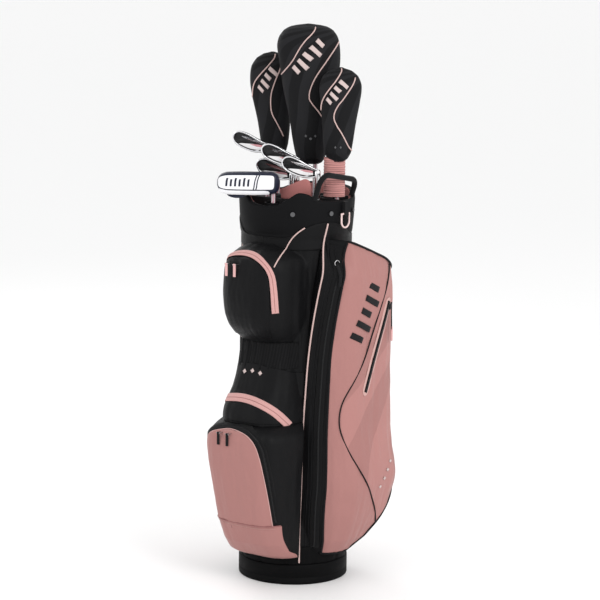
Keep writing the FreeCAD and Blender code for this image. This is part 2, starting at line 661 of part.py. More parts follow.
def putter():
    """A heel-shafted blade putter in a box-shaped cover that is open underneath."""
    x, y, low = "well_x", "well_y", 877
    shaft_and_grip("putter", x, y, str(low + 2))
    blade = block("putter_blade", ("-putter_length + 8", "8"),
                  ("-putter_depth / 2", "putter_depth / 2"), ("0", "putter_height"))
    soft = rounded("putter_soft", blade, 5, lambda edge: edge.Length < 29)
    hosel = primitive("Cylinder", "putter_hosel", Radius="hosel_radius", Height="26")
    place(hosel, "0", "0", "-16")
    bore = primitive("Cone", "putter_bore", Radius1="shaft_tip + 6 * shaft_gap",
                     Radius2="shaft_tip + shaft_gap", Height="20")
    place(bore, "0", "0", "-18")
    head = cut("putter_head_cut", fuse("putter_head_joined", soft, hosel), bore)
    keep(place(head, x, y, str(low), "head_turn"), "putter_head")

    half = "putter_case_half"
    case = block("putter_case", ("-putter_length - 21", "putter_case_heel"),
                 (f"-{half}", half), ("-20", "28"))
    case_soft = rounded("putter_case_soft", case, 10, lambda edge: edge.Length < 80
                        and abs(edge.CenterOfMass.z - 4) < 1)
    room = block("putter_room", ("-putter_length - 17", "putter_case_heel - cover_wall"),
                 (f"-{half} + cover_wall", f"{half} - cover_wall"), ("-30", "28 - cover_wall"))
    cover = cut("putter_cover_cut", case_soft, room)
    keep(place(cover, x, y, str(low), "head_turn"), "putter_cover")


# ---------------------------------------------------------------- build and write

def check_and_write():
    doc.recompute()
    failed = [item.Label for item in doc.Objects
              if "Invalid" in item.State or "Error" in item.State]
    for item in sub_parts:
        if item.Shape.isNull() or not item.Shape.isValid() or not item.Shape.Solids:
            failed.append(item.Label)
    if failed:
        raise RuntimeError("failed: " + ", ".join(failed))
    os.makedirs("parts", exist_ok=True)
    for item in sub_parts:
        item.Shape.exportStep(os.path.join("parts", item.Label + ".step"))
    print(len(sub_parts), "sub-parts written")


base()
bag_tube()
collar()
dividers()
handle()
ring_and_studs()
front_pockets()
side_pocket("side_pocket_right", RIGHT_PLAN, ("0", "300"))
side_pocket("side_pocket_left", LEFT_PLAN, ("-300", "0"))
spine_and_strap()
zips()
for entry in IRONS:
    iron(*entry)
for entry in WOODS:
    wood(*entry)
putter()
check_and_write()
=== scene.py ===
import math

import bmesh
import bpy
from mathutils import Matrix, Vector, noise


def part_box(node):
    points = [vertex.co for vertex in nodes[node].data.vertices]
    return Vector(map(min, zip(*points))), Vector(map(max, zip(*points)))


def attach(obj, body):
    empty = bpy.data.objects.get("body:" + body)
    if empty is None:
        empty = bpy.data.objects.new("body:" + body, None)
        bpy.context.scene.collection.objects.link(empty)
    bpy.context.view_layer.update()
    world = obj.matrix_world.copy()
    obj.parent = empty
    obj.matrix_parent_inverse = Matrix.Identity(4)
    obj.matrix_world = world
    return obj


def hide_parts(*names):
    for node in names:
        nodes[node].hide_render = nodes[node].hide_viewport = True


# A golf club set in a cart bag: the looks.  Lengths in this file are millimetres and become metres
# where a mesh is made.  The bag's skins are polar: a radius for each angle round the bag's axis and
# each height.  Angle 0 is the right side (+X), -90 the front pockets (-Y).

MM = 0.001

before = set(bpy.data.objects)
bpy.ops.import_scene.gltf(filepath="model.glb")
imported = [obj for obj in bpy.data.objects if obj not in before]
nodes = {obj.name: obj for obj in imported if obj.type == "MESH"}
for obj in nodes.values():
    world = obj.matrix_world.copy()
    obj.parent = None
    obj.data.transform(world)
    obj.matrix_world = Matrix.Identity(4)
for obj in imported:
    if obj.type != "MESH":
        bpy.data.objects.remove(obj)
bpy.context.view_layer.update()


# ---------------------------------------------------------------- numbers and curves

def curve_through(points):
    """A smooth function of one value through given (place, value) points."""
    places = [place for place, _ in points]
    values = [value for _, value in points]

    def at(place):
        if place <= places[0]:
            return values[0]
        if place >= places[-1]:
            return values[-1]
        index = max(i for i in range(len(places) - 1) if places[i] <= place)
        share = (place - places[index]) / (places[index + 1] - places[index])
        before = values[max(index - 1, 0)]
        start, end = values[index], values[index + 1]
        after = values[min(index + 2, len(values) - 1)]
        slope_in = (end - before) / 2
        slope_out = (after - start) / 2
        square, cube = share * share, share ** 3
        return ((2 * cube - 3 * square + 1) * start + (cube - 2 * square + share) * slope_in
                + (3 * square - 2 * cube) * end + (cube - square) * slope_out)
    return at


def smooth_path(points, steps=12):
    """Points along a Catmull-Rom curve through the given ones, of any dimension."""
    result = []
    for index in range(len(points) - 1):
        before = points[max(index - 1, 0)]
        start, end = points[index], points[index + 1]
        after = points[min(index + 2, len(points) - 1)]
        for step in range(steps):
            share = step / steps
            square, cube = share * share, share ** 3
            result.append(tuple(
                0.5 * (2 * s + (e - b) * share + (2 * b - 5 * s + 4 * e - a) * square
                       + (3 * s - b - 3 * e + a) * cube)
                for b, s, e, a in zip(before, start, end, after)))
    result.append(tuple(points[-1]))
    return result


def evenly(points, gap):
    """Points on the line through the given ones, a fixed gap apart."""
    result = [Vector(points[0])]
    left = gap
    for start, end in zip(points, points[1:]):
        start, end = Vector(start), Vector(end)
        length = (end - start).length
        done = left
        while done <= length:
            result.append(start.lerp(end, done / length))
            done += gap
        left = done - length
    return result


def clamp(value, low, high):
    return max(low, min(high, value))


def powered(value, power):
    """A power that keeps the sign; it squares a round section up."""
    return math.copysign(abs(value) ** power, value)


def round_angles(count):
    """Evenly spaced angles round a circle, in radians."""
    return [math.tau * k / count for k in range(count)]


def ease(value, low, high):
    """0 below low, 1 above high, smooth between."""
    share = clamp((value - low) / (high - low), 0, 1)
    return share * share * (3 - 2 * share)


# ---------------------------------------------------------------- materials

def shade(name, colour, roughness, metallic=0.0, **sockets):
    """A new material with its shader; returns the material, its nodes, its links and the shader."""
    material = bpy.data.materials.new(name)
    material.use_nodes = True
    tree = material.node_tree
    shader = tree.nodes["Principled BSDF"]
    shader.inputs["Base Color"].default_value = (*colour, 1)
    shader.inputs["Roughness"].default_value = roughness
    shader.inputs["Metallic"].default_value = metallic
    for socket, value in sockets.items():
        shader.inputs[socket.replace("_", " ")].default_value = value
    return material, tree.nodes, tree.links, shader


def node(tree_nodes, kind, **settings):
    made = tree_nodes.new(kind)
    for key, value in settings.items():
        if key in made.inputs:
            made.inputs[key].default_value = value
        else:
            setattr(made, key, value)
    return made


def mix_colours(tree_nodes, links, factor, dark, light):
    mixed = node(tree_nodes, "ShaderNodeMix", data_type="RGBA")
    for socket, value in ((6, dark), (7, light)):
        if isinstance(value, tuple):
            mixed.inputs[socket].default_value = (*value, 1)
        else:
            links.new(value, mixed.inputs[socket])
    links.new(factor, mixed.inputs[0])
    return mixed.outputs[2]


def scaled(colour, share):
    return tuple(channel * share for channel in colour)


def bumped(tree_nodes, links, shader, height, strength, distance):
    bump = node(tree_nodes, "ShaderNodeBump", Strength=strength, Distance=distance)
    links.new(height, bump.inputs["Height"])
    links.new(bump.outputs["Normal"], shader.inputs["Normal"])


def woven(name, colour, pitch=1.1, roughness=0.8, sheen=0.25, depth=0.5, slant=0.0, worn=0.25,
          stripes=None):
    """Woven cloth: crossing threads as bump and shade, soft blotches, optional tonal stripes."""
    material, made, links, shader = shade(name, colour, roughness, Sheen_Weight=sheen,
                                          Sheen_Roughness=0.45, Specular_IOR_Level=0.09)
    shader.inputs["Sheen Tint"].default_value = (*[0.5 + channel / 2 for channel in colour], 1)
    place = node(made, "ShaderNodeTexCoord")
    turn = node(made, "ShaderNodeMapping")
    turn.inputs["Rotation"].default_value = (0, 0, math.radians(slant))
    links.new(place.outputs["UV"], turn.inputs["Vector"])
    threads = []
    for direction in ("X", "Y"):
        wave = node(made, "ShaderNodeTexWave", bands_direction=direction, Scale=1 / pitch / MM / 6.28,
                    Distortion=0.6, Detail=1.0)
        wave.inputs["Detail Scale"].default_value = 3.0
        links.new(turn.outputs["Vector"], wave.inputs["Vector"])
        threads.append(wave.outputs["Fac"])
    crossing = node(made, "ShaderNodeMath", operation="MULTIPLY")
    links.new(threads[0], crossing.inputs[0])
    links.new(threads[1], crossing.inputs[1])
    blotch = node(made, "ShaderNodeTexNoise", Scale=14.0, Detail=5.0, Roughness=0.6)
    links.new(place.outputs["Object"], blotch.inputs["Vector"])
    base = mix_colours(made, links, crossing.outputs[0], scaled(colour, 0.86), scaled(colour, 1.08))
    if stripes:
        width, angle, strength = stripes
        lean = node(made, "ShaderNodeMapping")
        lean.inputs["Rotation"].default_value = (0, 0, math.radians(angle))
        links.new(place.outputs["UV"], lean.inputs["Vector"])
        bars = node(made, "ShaderNodeTexWave", bands_direction="X", Scale=1 / width / MM / 6.28,
                    wave_profile="SAW")
        links.new(lean.outputs["Vector"], bars.inputs["Vector"])
        step = node(made, "ShaderNodeValToRGB")
        step.color_ramp.elements[0].position = 0.0
        step.color_ramp.elements[0].color = (0, 0, 0, 1)
        step.color_ramp.elements[1].position = 0.5
        step.color_ramp.elements[1].color = (1, 1, 1, 1)
        step.color_ramp.interpolation = "CONSTANT"
        links.new(bars.outputs["Fac"], step.inputs["Fac"])
        tone = node(made, "ShaderNodeMath", operation="MULTIPLY")
        links.new(step.outputs["Color"], tone.inputs[0])
        tone.inputs[1].default_value = strength
        base = mix_colours(made, links, tone.outputs[0], base, scaled(colour, 2.2))
    soft = node(made, "ShaderNodeMath", operation="MULTIPLY")
    links.new(blotch.outputs["Fac"], soft.inputs[0])
    soft.inputs[1].default_value = worn
    final = mix_colours(made, links, soft.outputs[0], base, scaled(colour, 0.78))
    links.new(final, shader.inputs["Base Color"])
    rough = node(made, "ShaderNodeMapRange")
    rough.inputs["To Min"].default_value = roughness - 0.08
    rough.inputs["To Max"].default_value = min(1.0, roughness + 0.1)
    links.new(blotch.outputs["Fac"], rough.inputs["Value"])
    links.new(rough.outputs["Result"], shader.inputs["Roughness"])
    bumped(made, links, shader, crossing.outputs[0], depth, 0.0004)
    return material


def moulded(name, colour, roughness=0.45, grain=0.25, coat=0.0, grain_size=900.0, gloss=0.3):
    """Moulded plastic or vinyl with a fine leather-like grain and slight scuffs."""
    material, made, links, shader = shade(name, colour, roughness, Coat_Weight=coat,
                                          Coat_Roughness=0.2, Specular_IOR_Level=gloss)
    place = node(made, "ShaderNodeTexCoord")
    pores = node(made, "ShaderNodeTexVoronoi", Scale=grain_size)
    links.new(place.outputs["Object"], pores.inputs["Vector"])
    scuff = node(made, "ShaderNodeTexNoise", Scale=30.0, Detail=8.0, Roughness=0.65)
    links.new(place.outputs["Object"], scuff.inputs["Vector"])
    tone = mix_colours(made, links, scuff.outputs["Fac"], scaled(colour, 0.85), scaled(colour, 1.2))
    links.new(tone, shader.inputs["Base Color"])
    rough = node(made, "ShaderNodeMapRange")
    rough.inputs["To Min"].default_value = max(0.05, roughness - 0.1)
    rough.inputs["To Max"].default_value = roughness + 0.12
    links.new(scuff.outputs["Fac"], rough.inputs["Value"])
    links.new(rough.outputs["Result"], shader.inputs["Roughness"])
    bumped(made, links, shader, pores.outputs["Distance"], grain, 0.0003)
    return material


def metal(name, colour, roughness=0.16, brushed=0.0):
    """Plated or brushed metal with faint scratches in its roughness."""
    material, made, links, shader = shade(name, colour, roughness, metallic=1.0)
    place = node(made, "ShaderNodeTexCoord")
    stretch = node(made, "ShaderNodeMapping")
    stretch.inputs["Scale"].default_value = (40, 40, 900) if brushed else (60, 60, 60)
    links.new(place.outputs["Object"], stretch.inputs["Vector"])
    scratch = node(made, "ShaderNodeTexNoise", Scale=6.0, Detail=6.0, Roughness=0.7)
    links.new(stretch.outputs["Vector"], scratch.inputs["Vector"])
    rough = node(made, "ShaderNodeMapRange")
    rough.inputs["To Min"].default_value = max(0.03, roughness - 0.06)
    rough.inputs["To Max"].default_value = roughness + 0.12
    links.new(scratch.outputs["Fac"], rough.inputs["Value"])
    links.new(rough.outputs["Result"], shader.inputs["Roughness"])
    tone = mix_colours(made, links, scratch.outputs["Fac"], scaled(colour, 0.88), colour)
    links.new(tone, shader.inputs["Base Color"])
    if brushed:
        bumped(made, links, shader, scratch.outputs["Fac"], brushed, 0.0002)
    return material


def ribbed(name, colour, pitch, roughness=0.8, direction="Y", depth=0.8, sheen=0.2):
    """Ribbed webbing, elastic or grooved rubber: even ribs across the piece's UV."""
    material, made, links, shader = shade(name, colour, roughness, Sheen_Weight=sheen,
                                          Specular_IOR_Level=0.09)
    place = node(made, "ShaderNodeTexCoord")
    wave = node(made, "ShaderNodeTexWave", bands_direction=direction, Scale=1 / pitch / MM / 6.28,
                Distortion=0.3)
    links.new(place.outputs["UV"], wave.inputs["Vector"])
    tone = mix_colours(made, links, wave.outputs["Fac"], scaled(colour, 0.7), scaled(colour, 1.15))
    links.new(tone, shader.inputs["Base Color"])
    bumped(made, links, shader, wave.outputs["Fac"], depth, 0.0006)
    return material


def striped_shaft():
    """Pearl lacquer with long pink pinstripes round the shaft."""
    pearl = (0.72, 0.69, 0.70)
    material, made, links, shader = shade("shaft_pearl", pearl, 0.22, Coat_Weight=0.6,
                                          Coat_Roughness=0.08)
    place = node(made, "ShaderNodeTexCoord")
    middle = node(made, "ShaderNodeVectorMath", operation="SUBTRACT")
    middle.inputs[1].default_value = (0.5, 0.5, 0.5)
    links.new(place.outputs["Generated"], middle.inputs[0])
    parts = node(made, "ShaderNodeSeparateXYZ")
    links.new(middle.outputs[0], parts.inputs[0])
    angle = node(made, "ShaderNodeMath", operation="ARCTAN2")
    links.new(parts.outputs["Y"], angle.inputs[0])
    links.new(parts.outputs["X"], angle.inputs[1])
    turns = node(made, "ShaderNodeMath", operation="MULTIPLY")
    links.new(angle.outputs[0], turns.inputs[0])
    turns.inputs[1].default_value = 5.0
    wave = node(made, "ShaderNodeMath", operation="SINE")
    links.new(turns.outputs[0], wave.inputs[0])
    line = node(made, "ShaderNodeMath", operation="GREATER_THAN")
    links.new(wave.outputs[0], line.inputs[0])
    line.inputs[1].default_value = 0.35
    sparkle = node(made, "ShaderNodeTexNoise", Scale=300.0, Detail=2.0)
    links.new(place.outputs["Object"], sparkle.inputs["Vector"])
    flake = mix_colours(made, links, sparkle.outputs["Fac"], scaled(pearl, 0.9), pearl)
    tone = mix_colours(made, links, line.outputs[0], flake, (0.66, 0.22, 0.30))
    links.new(tone, shader.inputs["Base Color"])
    return material


BLACK = (0.0062, 0.0062, 0.0068)
PINK = (0.405, 0.195, 0.18)
PALE = (0.66, 0.47, 0.44)

black_cloth = woven("black_cloth", BLACK, pitch=1.0, roughness=0.42, sheen=0.01, worn=0.5)
black_satin = woven("black_satin", (0.0055, 0.0055, 0.0062), pitch=0.8, roughness=0.42, sheen=0.01)
black_ribs = ribbed("black_ribs", (0.0065, 0.0065, 0.007), pitch=3.5, direction="X", depth=0.8,
                    sheen=0.02)
cover_cloth = woven("cover_cloth", (0.0085, 0.0085, 0.0095), pitch=0.9, roughness=0.6, sheen=0.03,
                    stripes=(20, 38, 0.7))
pink_satin = woven("pink_satin", PINK, pitch=0.9, roughness=0.42, sheen=0.12, depth=0.25,
                   worn=0.3)
pink_stripe = woven("pink_stripe", scaled(PINK, 0.94), pitch=0.9, roughness=0.42, sheen=0.12,
                    depth=0.25, stripes=(64, 36, 0.13), worn=0.3)
pale_satin = woven("pale_satin", (0.60, 0.37, 0.34), pitch=0.9, roughness=0.4, sheen=0.1,
                   depth=0.2)
pink_rib = ribbed("pink_rib", (0.50, 0.235, 0.22), pitch=2.4, depth=0.5)
pink_lining = woven("pink_lining", (0.42, 0.165, 0.155), pitch=1.4, roughness=0.85, sheen=0.2)
pink_line = woven("pink_line", (0.30, 0.13, 0.125), pitch=0.8, roughness=0.6, sheen=0.1, slant=45)
# a pink lighter than the door's cloth: painted highlight for the bright rim along the lower door's
# edge
highlight_pink_edge = woven("highlight_pink_edge", (0.60, 0.36, 0.34), pitch=0.8, roughness=0.5, sheen=0.1, slant=45)
pale_piping = woven("pale_piping", PALE, pitch=0.8, roughness=0.55, sheen=0.1, slant=45)
black_piping = woven("black_piping", (0.009, 0.009, 0.010), pitch=0.8, roughness=0.55,
                     sheen=0.05, slant=45)
zip_tape_pink = ribbed("zip_tape_pink", (0.60, 0.33, 0.31), pitch=1.2, depth=0.4)
zip_tape_black = ribbed("zip_tape_black", (0.007, 0.007, 0.0075), pitch=1.2, depth=0.4,
                        sheen=0.05)
teeth_black = moulded("teeth_black", (0.010, 0.010, 0.011), roughness=0.4)
webbing = ribbed("webbing", (0.011, 0.011, 0.012), pitch=1.6, depth=0.8, sheen=0.05)
collar_plastic = moulded("collar_plastic", (0.0048, 0.0048, 0.0054), roughness=0.6, gloss=0.07)
foot_plastic = moulded("foot_plastic", (0.0035, 0.0035, 0.0038), roughness=0.55, gloss=0.05)
grid_plastic = moulded("grid_plastic", (0.013, 0.013, 0.014), roughness=0.55)
pink_plastic = moulded("pink_plastic", (0.66, 0.38, 0.37), roughness=0.35, coat=0.2)
pale_plastic = moulded("pale_plastic", (0.74, 0.56, 0.54), roughness=0.35, coat=0.2)
rubber = ribbed("rubber", (0.016, 0.016, 0.017), pitch=5.0, roughness=0.75)
felt = moulded("felt", (0.012, 0.012, 0.012), roughness=0.95, grain=0.6)
chrome = metal("chrome", (0.80, 0.80, 0.82), roughness=0.14)
satin_steel = metal("satin_steel", (0.55, 0.55, 0.57), roughness=0.34, brushed=0.3)
dark_cavity = moulded("dark_cavity", (0.012, 0.012, 0.013), roughness=0.3, coat=0.3)
badge_silver = metal("badge_silver", (0.88, 0.87, 0.88), roughness=0.35)
badge_pink = moulded("badge_pink", (0.52, 0.24, 0.26), roughness=0.25, coat=0.4)
zinc = metal("zinc", (0.55, 0.54, 0.55), roughness=0.28)
gunmetal = metal("gunmetal", (0.14, 0.14, 0.145), roughness=0.38)
lacquer = moulded("lacquer", (0.012, 0.012, 0.016), roughness=0.15, coat=0.8, grain=0.02)
navy_vinyl = moulded("navy_vinyl", (0.008, 0.011, 0.028), roughness=0.4, grain_size=1300)
white_vinyl = moulded("white_vinyl", (0.78, 0.78, 0.80), roughness=0.42, grain_size=1300)
shaft_pearl = striped_shaft()
thread_pale = woven("thread_pale", (0.56, 0.36, 0.33), pitch=0.6, roughness=0.7, slant=30)
white_print = woven("white_print", (0.62, 0.50, 0.48), pitch=0.9, roughness=0.6)
dim_print = woven("dim_print", (0.11, 0.11, 0.115), pitch=0.9, roughness=0.6)
black_print = woven("black_print", (0.012, 0.012, 0.013), pitch=0.9, roughness=0.5, sheen=0.05)


# ---------------------------------------------------------------- mesh helpers

def piece(name, mesh, material, body, smooth=True):
    """A mesh object with its material, riding on a body."""
    made = bpy.data.objects.new(name, mesh)
    bpy.context.scene.collection.objects.link(made)
    for item in material if isinstance(material, (list, tuple)) else [material]:
        mesh.materials.append(item)
    for face in mesh.polygons:
        face.use_smooth = smooth
    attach(made, body)
    return made


def modifier(thing, kind, **settings):
    made = thing.modifiers.new(kind.lower(), kind)
    for key, value in settings.items():
        setattr(made, key, value)
    return made


def grid_mesh(name, rows, closed=False, cap=False, uv=None, inward=False):
    """A mesh through rows of points (mm); each row has the same count. uv gives (u, v) in mm."""
    build = bmesh.new()
    layer = build.loops.layers.uv.new("UVMap")
    made = [[build.verts.new(Vector(point) * MM) for point in row] for row in rows]
    spots = {}
    for r, row in enumerate(made):
        along = 0.0
        for c, vert in enumerate(row):
            if c:
                along += (vert.co - row[c - 1].co).length
            spots[vert] = uv(r, c) if uv else (along, rows[r][c][2] * MM)
    count = len(rows[0])
    for r in range(len(rows) - 1):
        for c in range(count if closed else count - 1):
            after = (c + 1) % count
            corners = [made[r][c], made[r][after], made[r + 1][after], made[r + 1][c]]
            if len(set(corners)) < 4:
                continue
            face = build.faces.new(corners[::-1] if inward else corners)
            for loop in face.loops:
                loop[layer].uv = spots[loop.vert]
    if cap:
        for row, back in ((made[0], True), (made[-1], False)):
            face = build.faces.new(row[::-1] if back else row)
            for loop in face.loops:
                loop[layer].uv = (loop.vert.co.x, loop.vert.co.y)
    build.normal_update()
    mesh = bpy.data.meshes.new(name)
    build.to_mesh(mesh)
    build.free()
    return mesh


def solid(name, rows, material, body, smooth=True):
    """A piece closed round its rows and capped at both ends."""
    return piece(name, grid_mesh(name, rows, closed=True, cap=True), material, body, smooth)


def rod_mesh(name, path, radius, sides=10, closed=False):
    """A round rod along a path of points in mm; radius is one number or a function of 0..1."""
    points = [Vector(point) for point in path]
    rows = []
    normal = None
    for index, point in enumerate(points):
        ahead = points[(index + 1) % len(points)] if closed else points[min(index + 1,
                                                                             len(points) - 1)]
        behind = points[index - 1] if closed or index else points[0]
        run = (ahead - behind).normalized()
        if normal is None:
            normal = run.orthogonal().normalized()
        normal = (normal - run * normal.dot(run)).normalized()
        side = run.cross(normal)
        size = radius(index / (len(points) - 1)) if callable(radius) else radius
        rows.append([point + (normal * math.cos(a) + side * math.sin(a)) * size
                     for a in round_angles(sides)])
    if closed:
        rows.append(rows[0])
    return grid_mesh(name, rows, closed=True, cap=not closed)


def stretch_of(points):
    """The running length along the points."""
    total = [0.0]
    for start, end in zip(points, points[1:]):
        total.append(total[-1] + (end - start).length)
    return total


# ---------------------------------------------------------------- the bag's skins

TUBE = 114.6


def oval(angle, half, depth, power):
    """Radius of a rounded box seen from its middle, at an angle from its depth direction."""
    across = abs(math.sin(math.radians(angle))) / half
    out = max(math.cos(math.radians(angle)), 0.0) / depth
    return (across ** power + out ** power) ** (-1 / power)


def tube_skin(angle, height):
    return TUBE + 1.2


upper_depth = curve_through([(541, 138), (556, 157), (576, 176), (600, 187), (640, 193),
                             (700, 187), (724, 178), (742, 156), (752, 128)])
upper_half = curve_through([(541, 75), (560, 80), (600, 88), (700, 90), (724, 84), (742, 66),
                            (752, 48)])


def upper_skin(angle, height):
    return max(TUBE + 2, oval(angle + 90, upper_half(height), upper_depth(height), 3.4))


middle_depth = curve_through([(366, 190), (384, 190), (400, 186), (416, 176), (436, 163),
                              (470, 150), (500, 143), (540, 138)])
middle_half = curve_through([(366, 92), (400, 87), (440, 80), (500, 76), (540, 75)])


def middle_skin(angle, height):
    return max(TUBE + 2, oval(angle + 90, middle_half(height), middle_depth(height), 3.4))


lower_depth = curve_through([(60, 130), (72, 150), (100, 172), (147, 192), (220, 208), (290, 220),
                             (335, 221), (352, 212), (362, 198), (366, 186)])
lower_half = curve_through([(60, 90), (80, 94), (147, 98), (250, 105), (310, 111), (345, 109),
                            (360, 100), (366, 96)])


def lower_skin(angle, height):
    return max(TUBE + 2, oval(angle + 90, lower_half(height), lower_depth(height), 3.8))


side_fill = curve_through([(60, 0.72), (72, 0.78), (100, 0.88), (150, 0.985), (190, 1.04),
                           (225, 1.08), (260, 1.075), (300, 1.045), (340, 1.02), (400, 1.01),
                           (500, 1.005), (640, 1.015), (690, 1.0), (720, 0.96), (770, 0.88)])


def side_skin(angle, height):
    """The right garment pocket, which swells low down and towards the back."""
    half, power = (88, 2.6) if angle < 0 else (136, 6)
    radius = oval(angle, half, 186, power) * side_fill(height)
    lap = ease(height, 684, 762) * ease(-angle, 5, 20)
    return max(TUBE + 2, radius + (122.5 - radius) * lap)


# The left garment pocket is the same behind, but lies flat beside the front pockets.
LEFT_FLAT = 120.5
LEFT_FLAT_TURN = 37


def left_skin(angle, height):
    """The left pocket's radius, at the mirrored angle."""
    reach = max(math.cos(math.radians(angle + LEFT_FLAT_TURN)), 0.3)
    flat, full = LEFT_FLAT / reach, side_skin(angle, height)
    return max(TUBE + 2, (flat ** -12 + full ** -12) ** (-1 / 12))


side_top = curve_through([(-45, 764), (-24, 764), (-8, 762), (0, 752), (14, 734), (26, 716),
                          (33, 698), (40, 682), (64, 674)])
side_bottom = curve_through([(-46, 64), (-24, 68), (0, 72), (14, 98), (24, 132), (32, 180),
                             (40, 214), (64, 222)])

# the seam between the front column and the garment pocket, and the pink panel's front edge and
# the seam across it, each an angle that changes with the height
column_edge = curve_through([(60, -46.5), (146, -46), (337, -44.5), (503, -40.5), (570, -37.5),
                             (654, -33), (733, -27), (802, -21)])
panel_edge = curve_through([(66, -23), (163, -27.5), (331, -26.5), (507, -24.5), (590, -22),
                            (671, -18), (719, -14), (762, -8.5)])
panel_seam = curve_through([(100, 25), (150, 16), (264, -7), (343, -17.5), (376, -19),
                            (426, -15.5), (500, -0.5), (617, 17), (700, 28), (730, 34)])


def on_skin(skin, angle, height, lift=0.0):
    radius = skin(angle, height) + lift
    turn = math.radians(angle)
    return Vector((radius * math.cos(turn), radius * math.sin(turn), height))


def mirrored(point):
    return Vector((-point[0], point[1], point[2]))


def as_function(limit):
    return limit if callable(limit) else (lambda place: limit)


def folds(angle, height, size):
    """Loose cloth: long upright folds, broad swells and small puckers."""
    return size * (noise.noise(Vector((angle * 0.17, height * 0.0065, 3.1)))
                   + 0.7 * noise.noise(Vector((angle * 0.05, height * 0.014, 8.4)))
                   + 0.4 * noise.noise(Vector((angle * 0.4, height * 0.035, 5.7))))


def skin_piece(name, skin, angles, heights, material, body="bag", columns=70, rows=90,
               wrinkle=0.0, left=False, tuck=None, lift=0.0):
    """A panel of a skin.  angles are its side limits, numbers or functions of the height; heights
    are its lower and upper limits, numbers or functions of the angle.  Its edges are tucked in by
    tuck, or as far as the tube."""
    start, end = (as_function(limit) for limit in angles)
    low, high = (as_function(limit) for limit in heights)
    grid = []
    for row in range(rows + 1):
        line = []
        for column in range(columns + 1):
            height = low(-90) + (high(-90) - low(-90)) * row / rows
            for _ in range(4):
                angle = start(height) + (end(height) - start(height)) * column / columns
                height = low(angle) + (high(angle) - low(angle)) * row / rows
            dent = folds(angle, height, wrinkle) if wrinkle else 0.0
            line.append(on_skin(skin, angle, height, lift + dent))
        grid.append(line)

    def tucked(point):
        flat = math.hypot(point[0], point[1])
        inside = TUBE + 0.6 if tuck is None else flat - tuck
        return Vector((point[0] * inside / flat, point[1] * inside / flat, point[2]))
    grid = [[tucked(line[0]), *line, tucked(line[-1])] for line in grid]
    grid = [[tucked(point) for point in grid[0]], *grid, [tucked(point) for point in grid[-1]]]
    if left:
        grid = [[mirrored(point) for point in line] for line in grid]
    return piece(name, grid_mesh(name, grid, inward=left), material, body)


def skin_path(skin, points, lift, gap=4.0, left=False):
    """Points in space along a smooth path of (angle, height) places on a skin."""
    steps = smooth_path(points, 16)
    line = [on_skin(skin, angle, height, lift) for angle, height in steps]
    if left:
        line = [mirrored(point) for point in line]
    return evenly(line, gap)


def piping(name, line, material, body="bag", radius=1.9):
    """A piped seam: a thin cord in its cloth sleeve."""
    return piece(name, rod_mesh(name, line, radius, sides=8), material, body)


def ribbon_rows(skin, points, width, lift, left=False):
    """Edges of a band of the given width (number or function of 0..1) along a path on a skin."""
    steps = smooth_path(points, 16)
    rows = []
    for index, (angle, height) in enumerate(steps):
        ahead = steps[min(index + 1, len(steps) - 1)]
        behind = steps[max(index - 1, 0)]
        radius = skin(angle, height)
        run = Vector(((ahead[0] - behind[0]) * math.radians(1) * radius, ahead[1] - behind[1]))
        run.normalize()
        across = Vector((-run.y, run.x))
        size = width(index / (len(steps) - 1)) if callable(width) else width
        row = []
        for share in (-0.5, -0.44, -0.2, 0, 0.2, 0.44, 0.5):
            move = across * size * share
            spot = (angle + math.degrees(move.x / radius), height + move.y)
            point = on_skin(skin, *spot, lift if abs(share) < 0.45 else lift - 0.8)
            row.append(mirrored(point) if left else point)
        rows.append(row)
    return rows


def ribbon(name, skin, points, width, material, lift=1.2, left=False, body="bag"):
    """A flat tape sewn along a path on a skin."""
    rows = ribbon_rows(skin, points, width, lift, left)
    lengths = stretch_of([row[0] for row in rows])
    mesh = grid_mesh(name, rows, inward=not left,
                     uv=lambda r, c: (c * 0.0025, lengths[r] * MM))
    made = piece(name, mesh, material, body)
    modifier(made, "SOLIDIFY", thickness=0.8 * MM, offset=0)
    return made


def patch(name, point_at, corners, material, body="bag", cells=6):
    """A printed mark: a four-cornered film laid on a surface.  point_at gives a point in space
    for a place on that surface, and the corners are such places."""
    grid = []
    for row in range(cells + 1):
        up = row / cells
        line = []
        for column in range(cells + 1):
            along = column / cells
            ends = [(1 - up) * first + up * last for first, last in zip(corners[0], corners[3])]
            far = [(1 - up) * first + up * last for first, last in zip(corners[1], corners[2])]
            line.append(point_at(*[(1 - along) * a + along * b for a, b in zip(ends, far)]))
        grid.append(line)
    made = piece(name, grid_mesh(name, grid), material, body)
    modifier(made, "SOLIDIFY", thickness=0.5 * MM, offset=0)
    return made


def bars_on(name, point_at, first, last, count, across, share, material, body="bag"):
    """A run of plain slanted bars from one place to another; across is each bar's own direction
    and length, and share is the part of the pitch that a bar fills."""
    pitch = [(end - start) / count for start, end in zip(first, last)]
    for number in range(count):
        start = [a + p * number for a, p in zip(first, pitch)]
        end = [a + p * share for a, p in zip(start, pitch)]
        reach = across if number % 2 else [part * 0.72 for part in across]
        corners = [start, end, [a + b for a, b in zip(end, reach)],
                   [a + b for a, b in zip(start, reach)]]
        patch(f"{name}_{number}", point_at, corners, material, body)


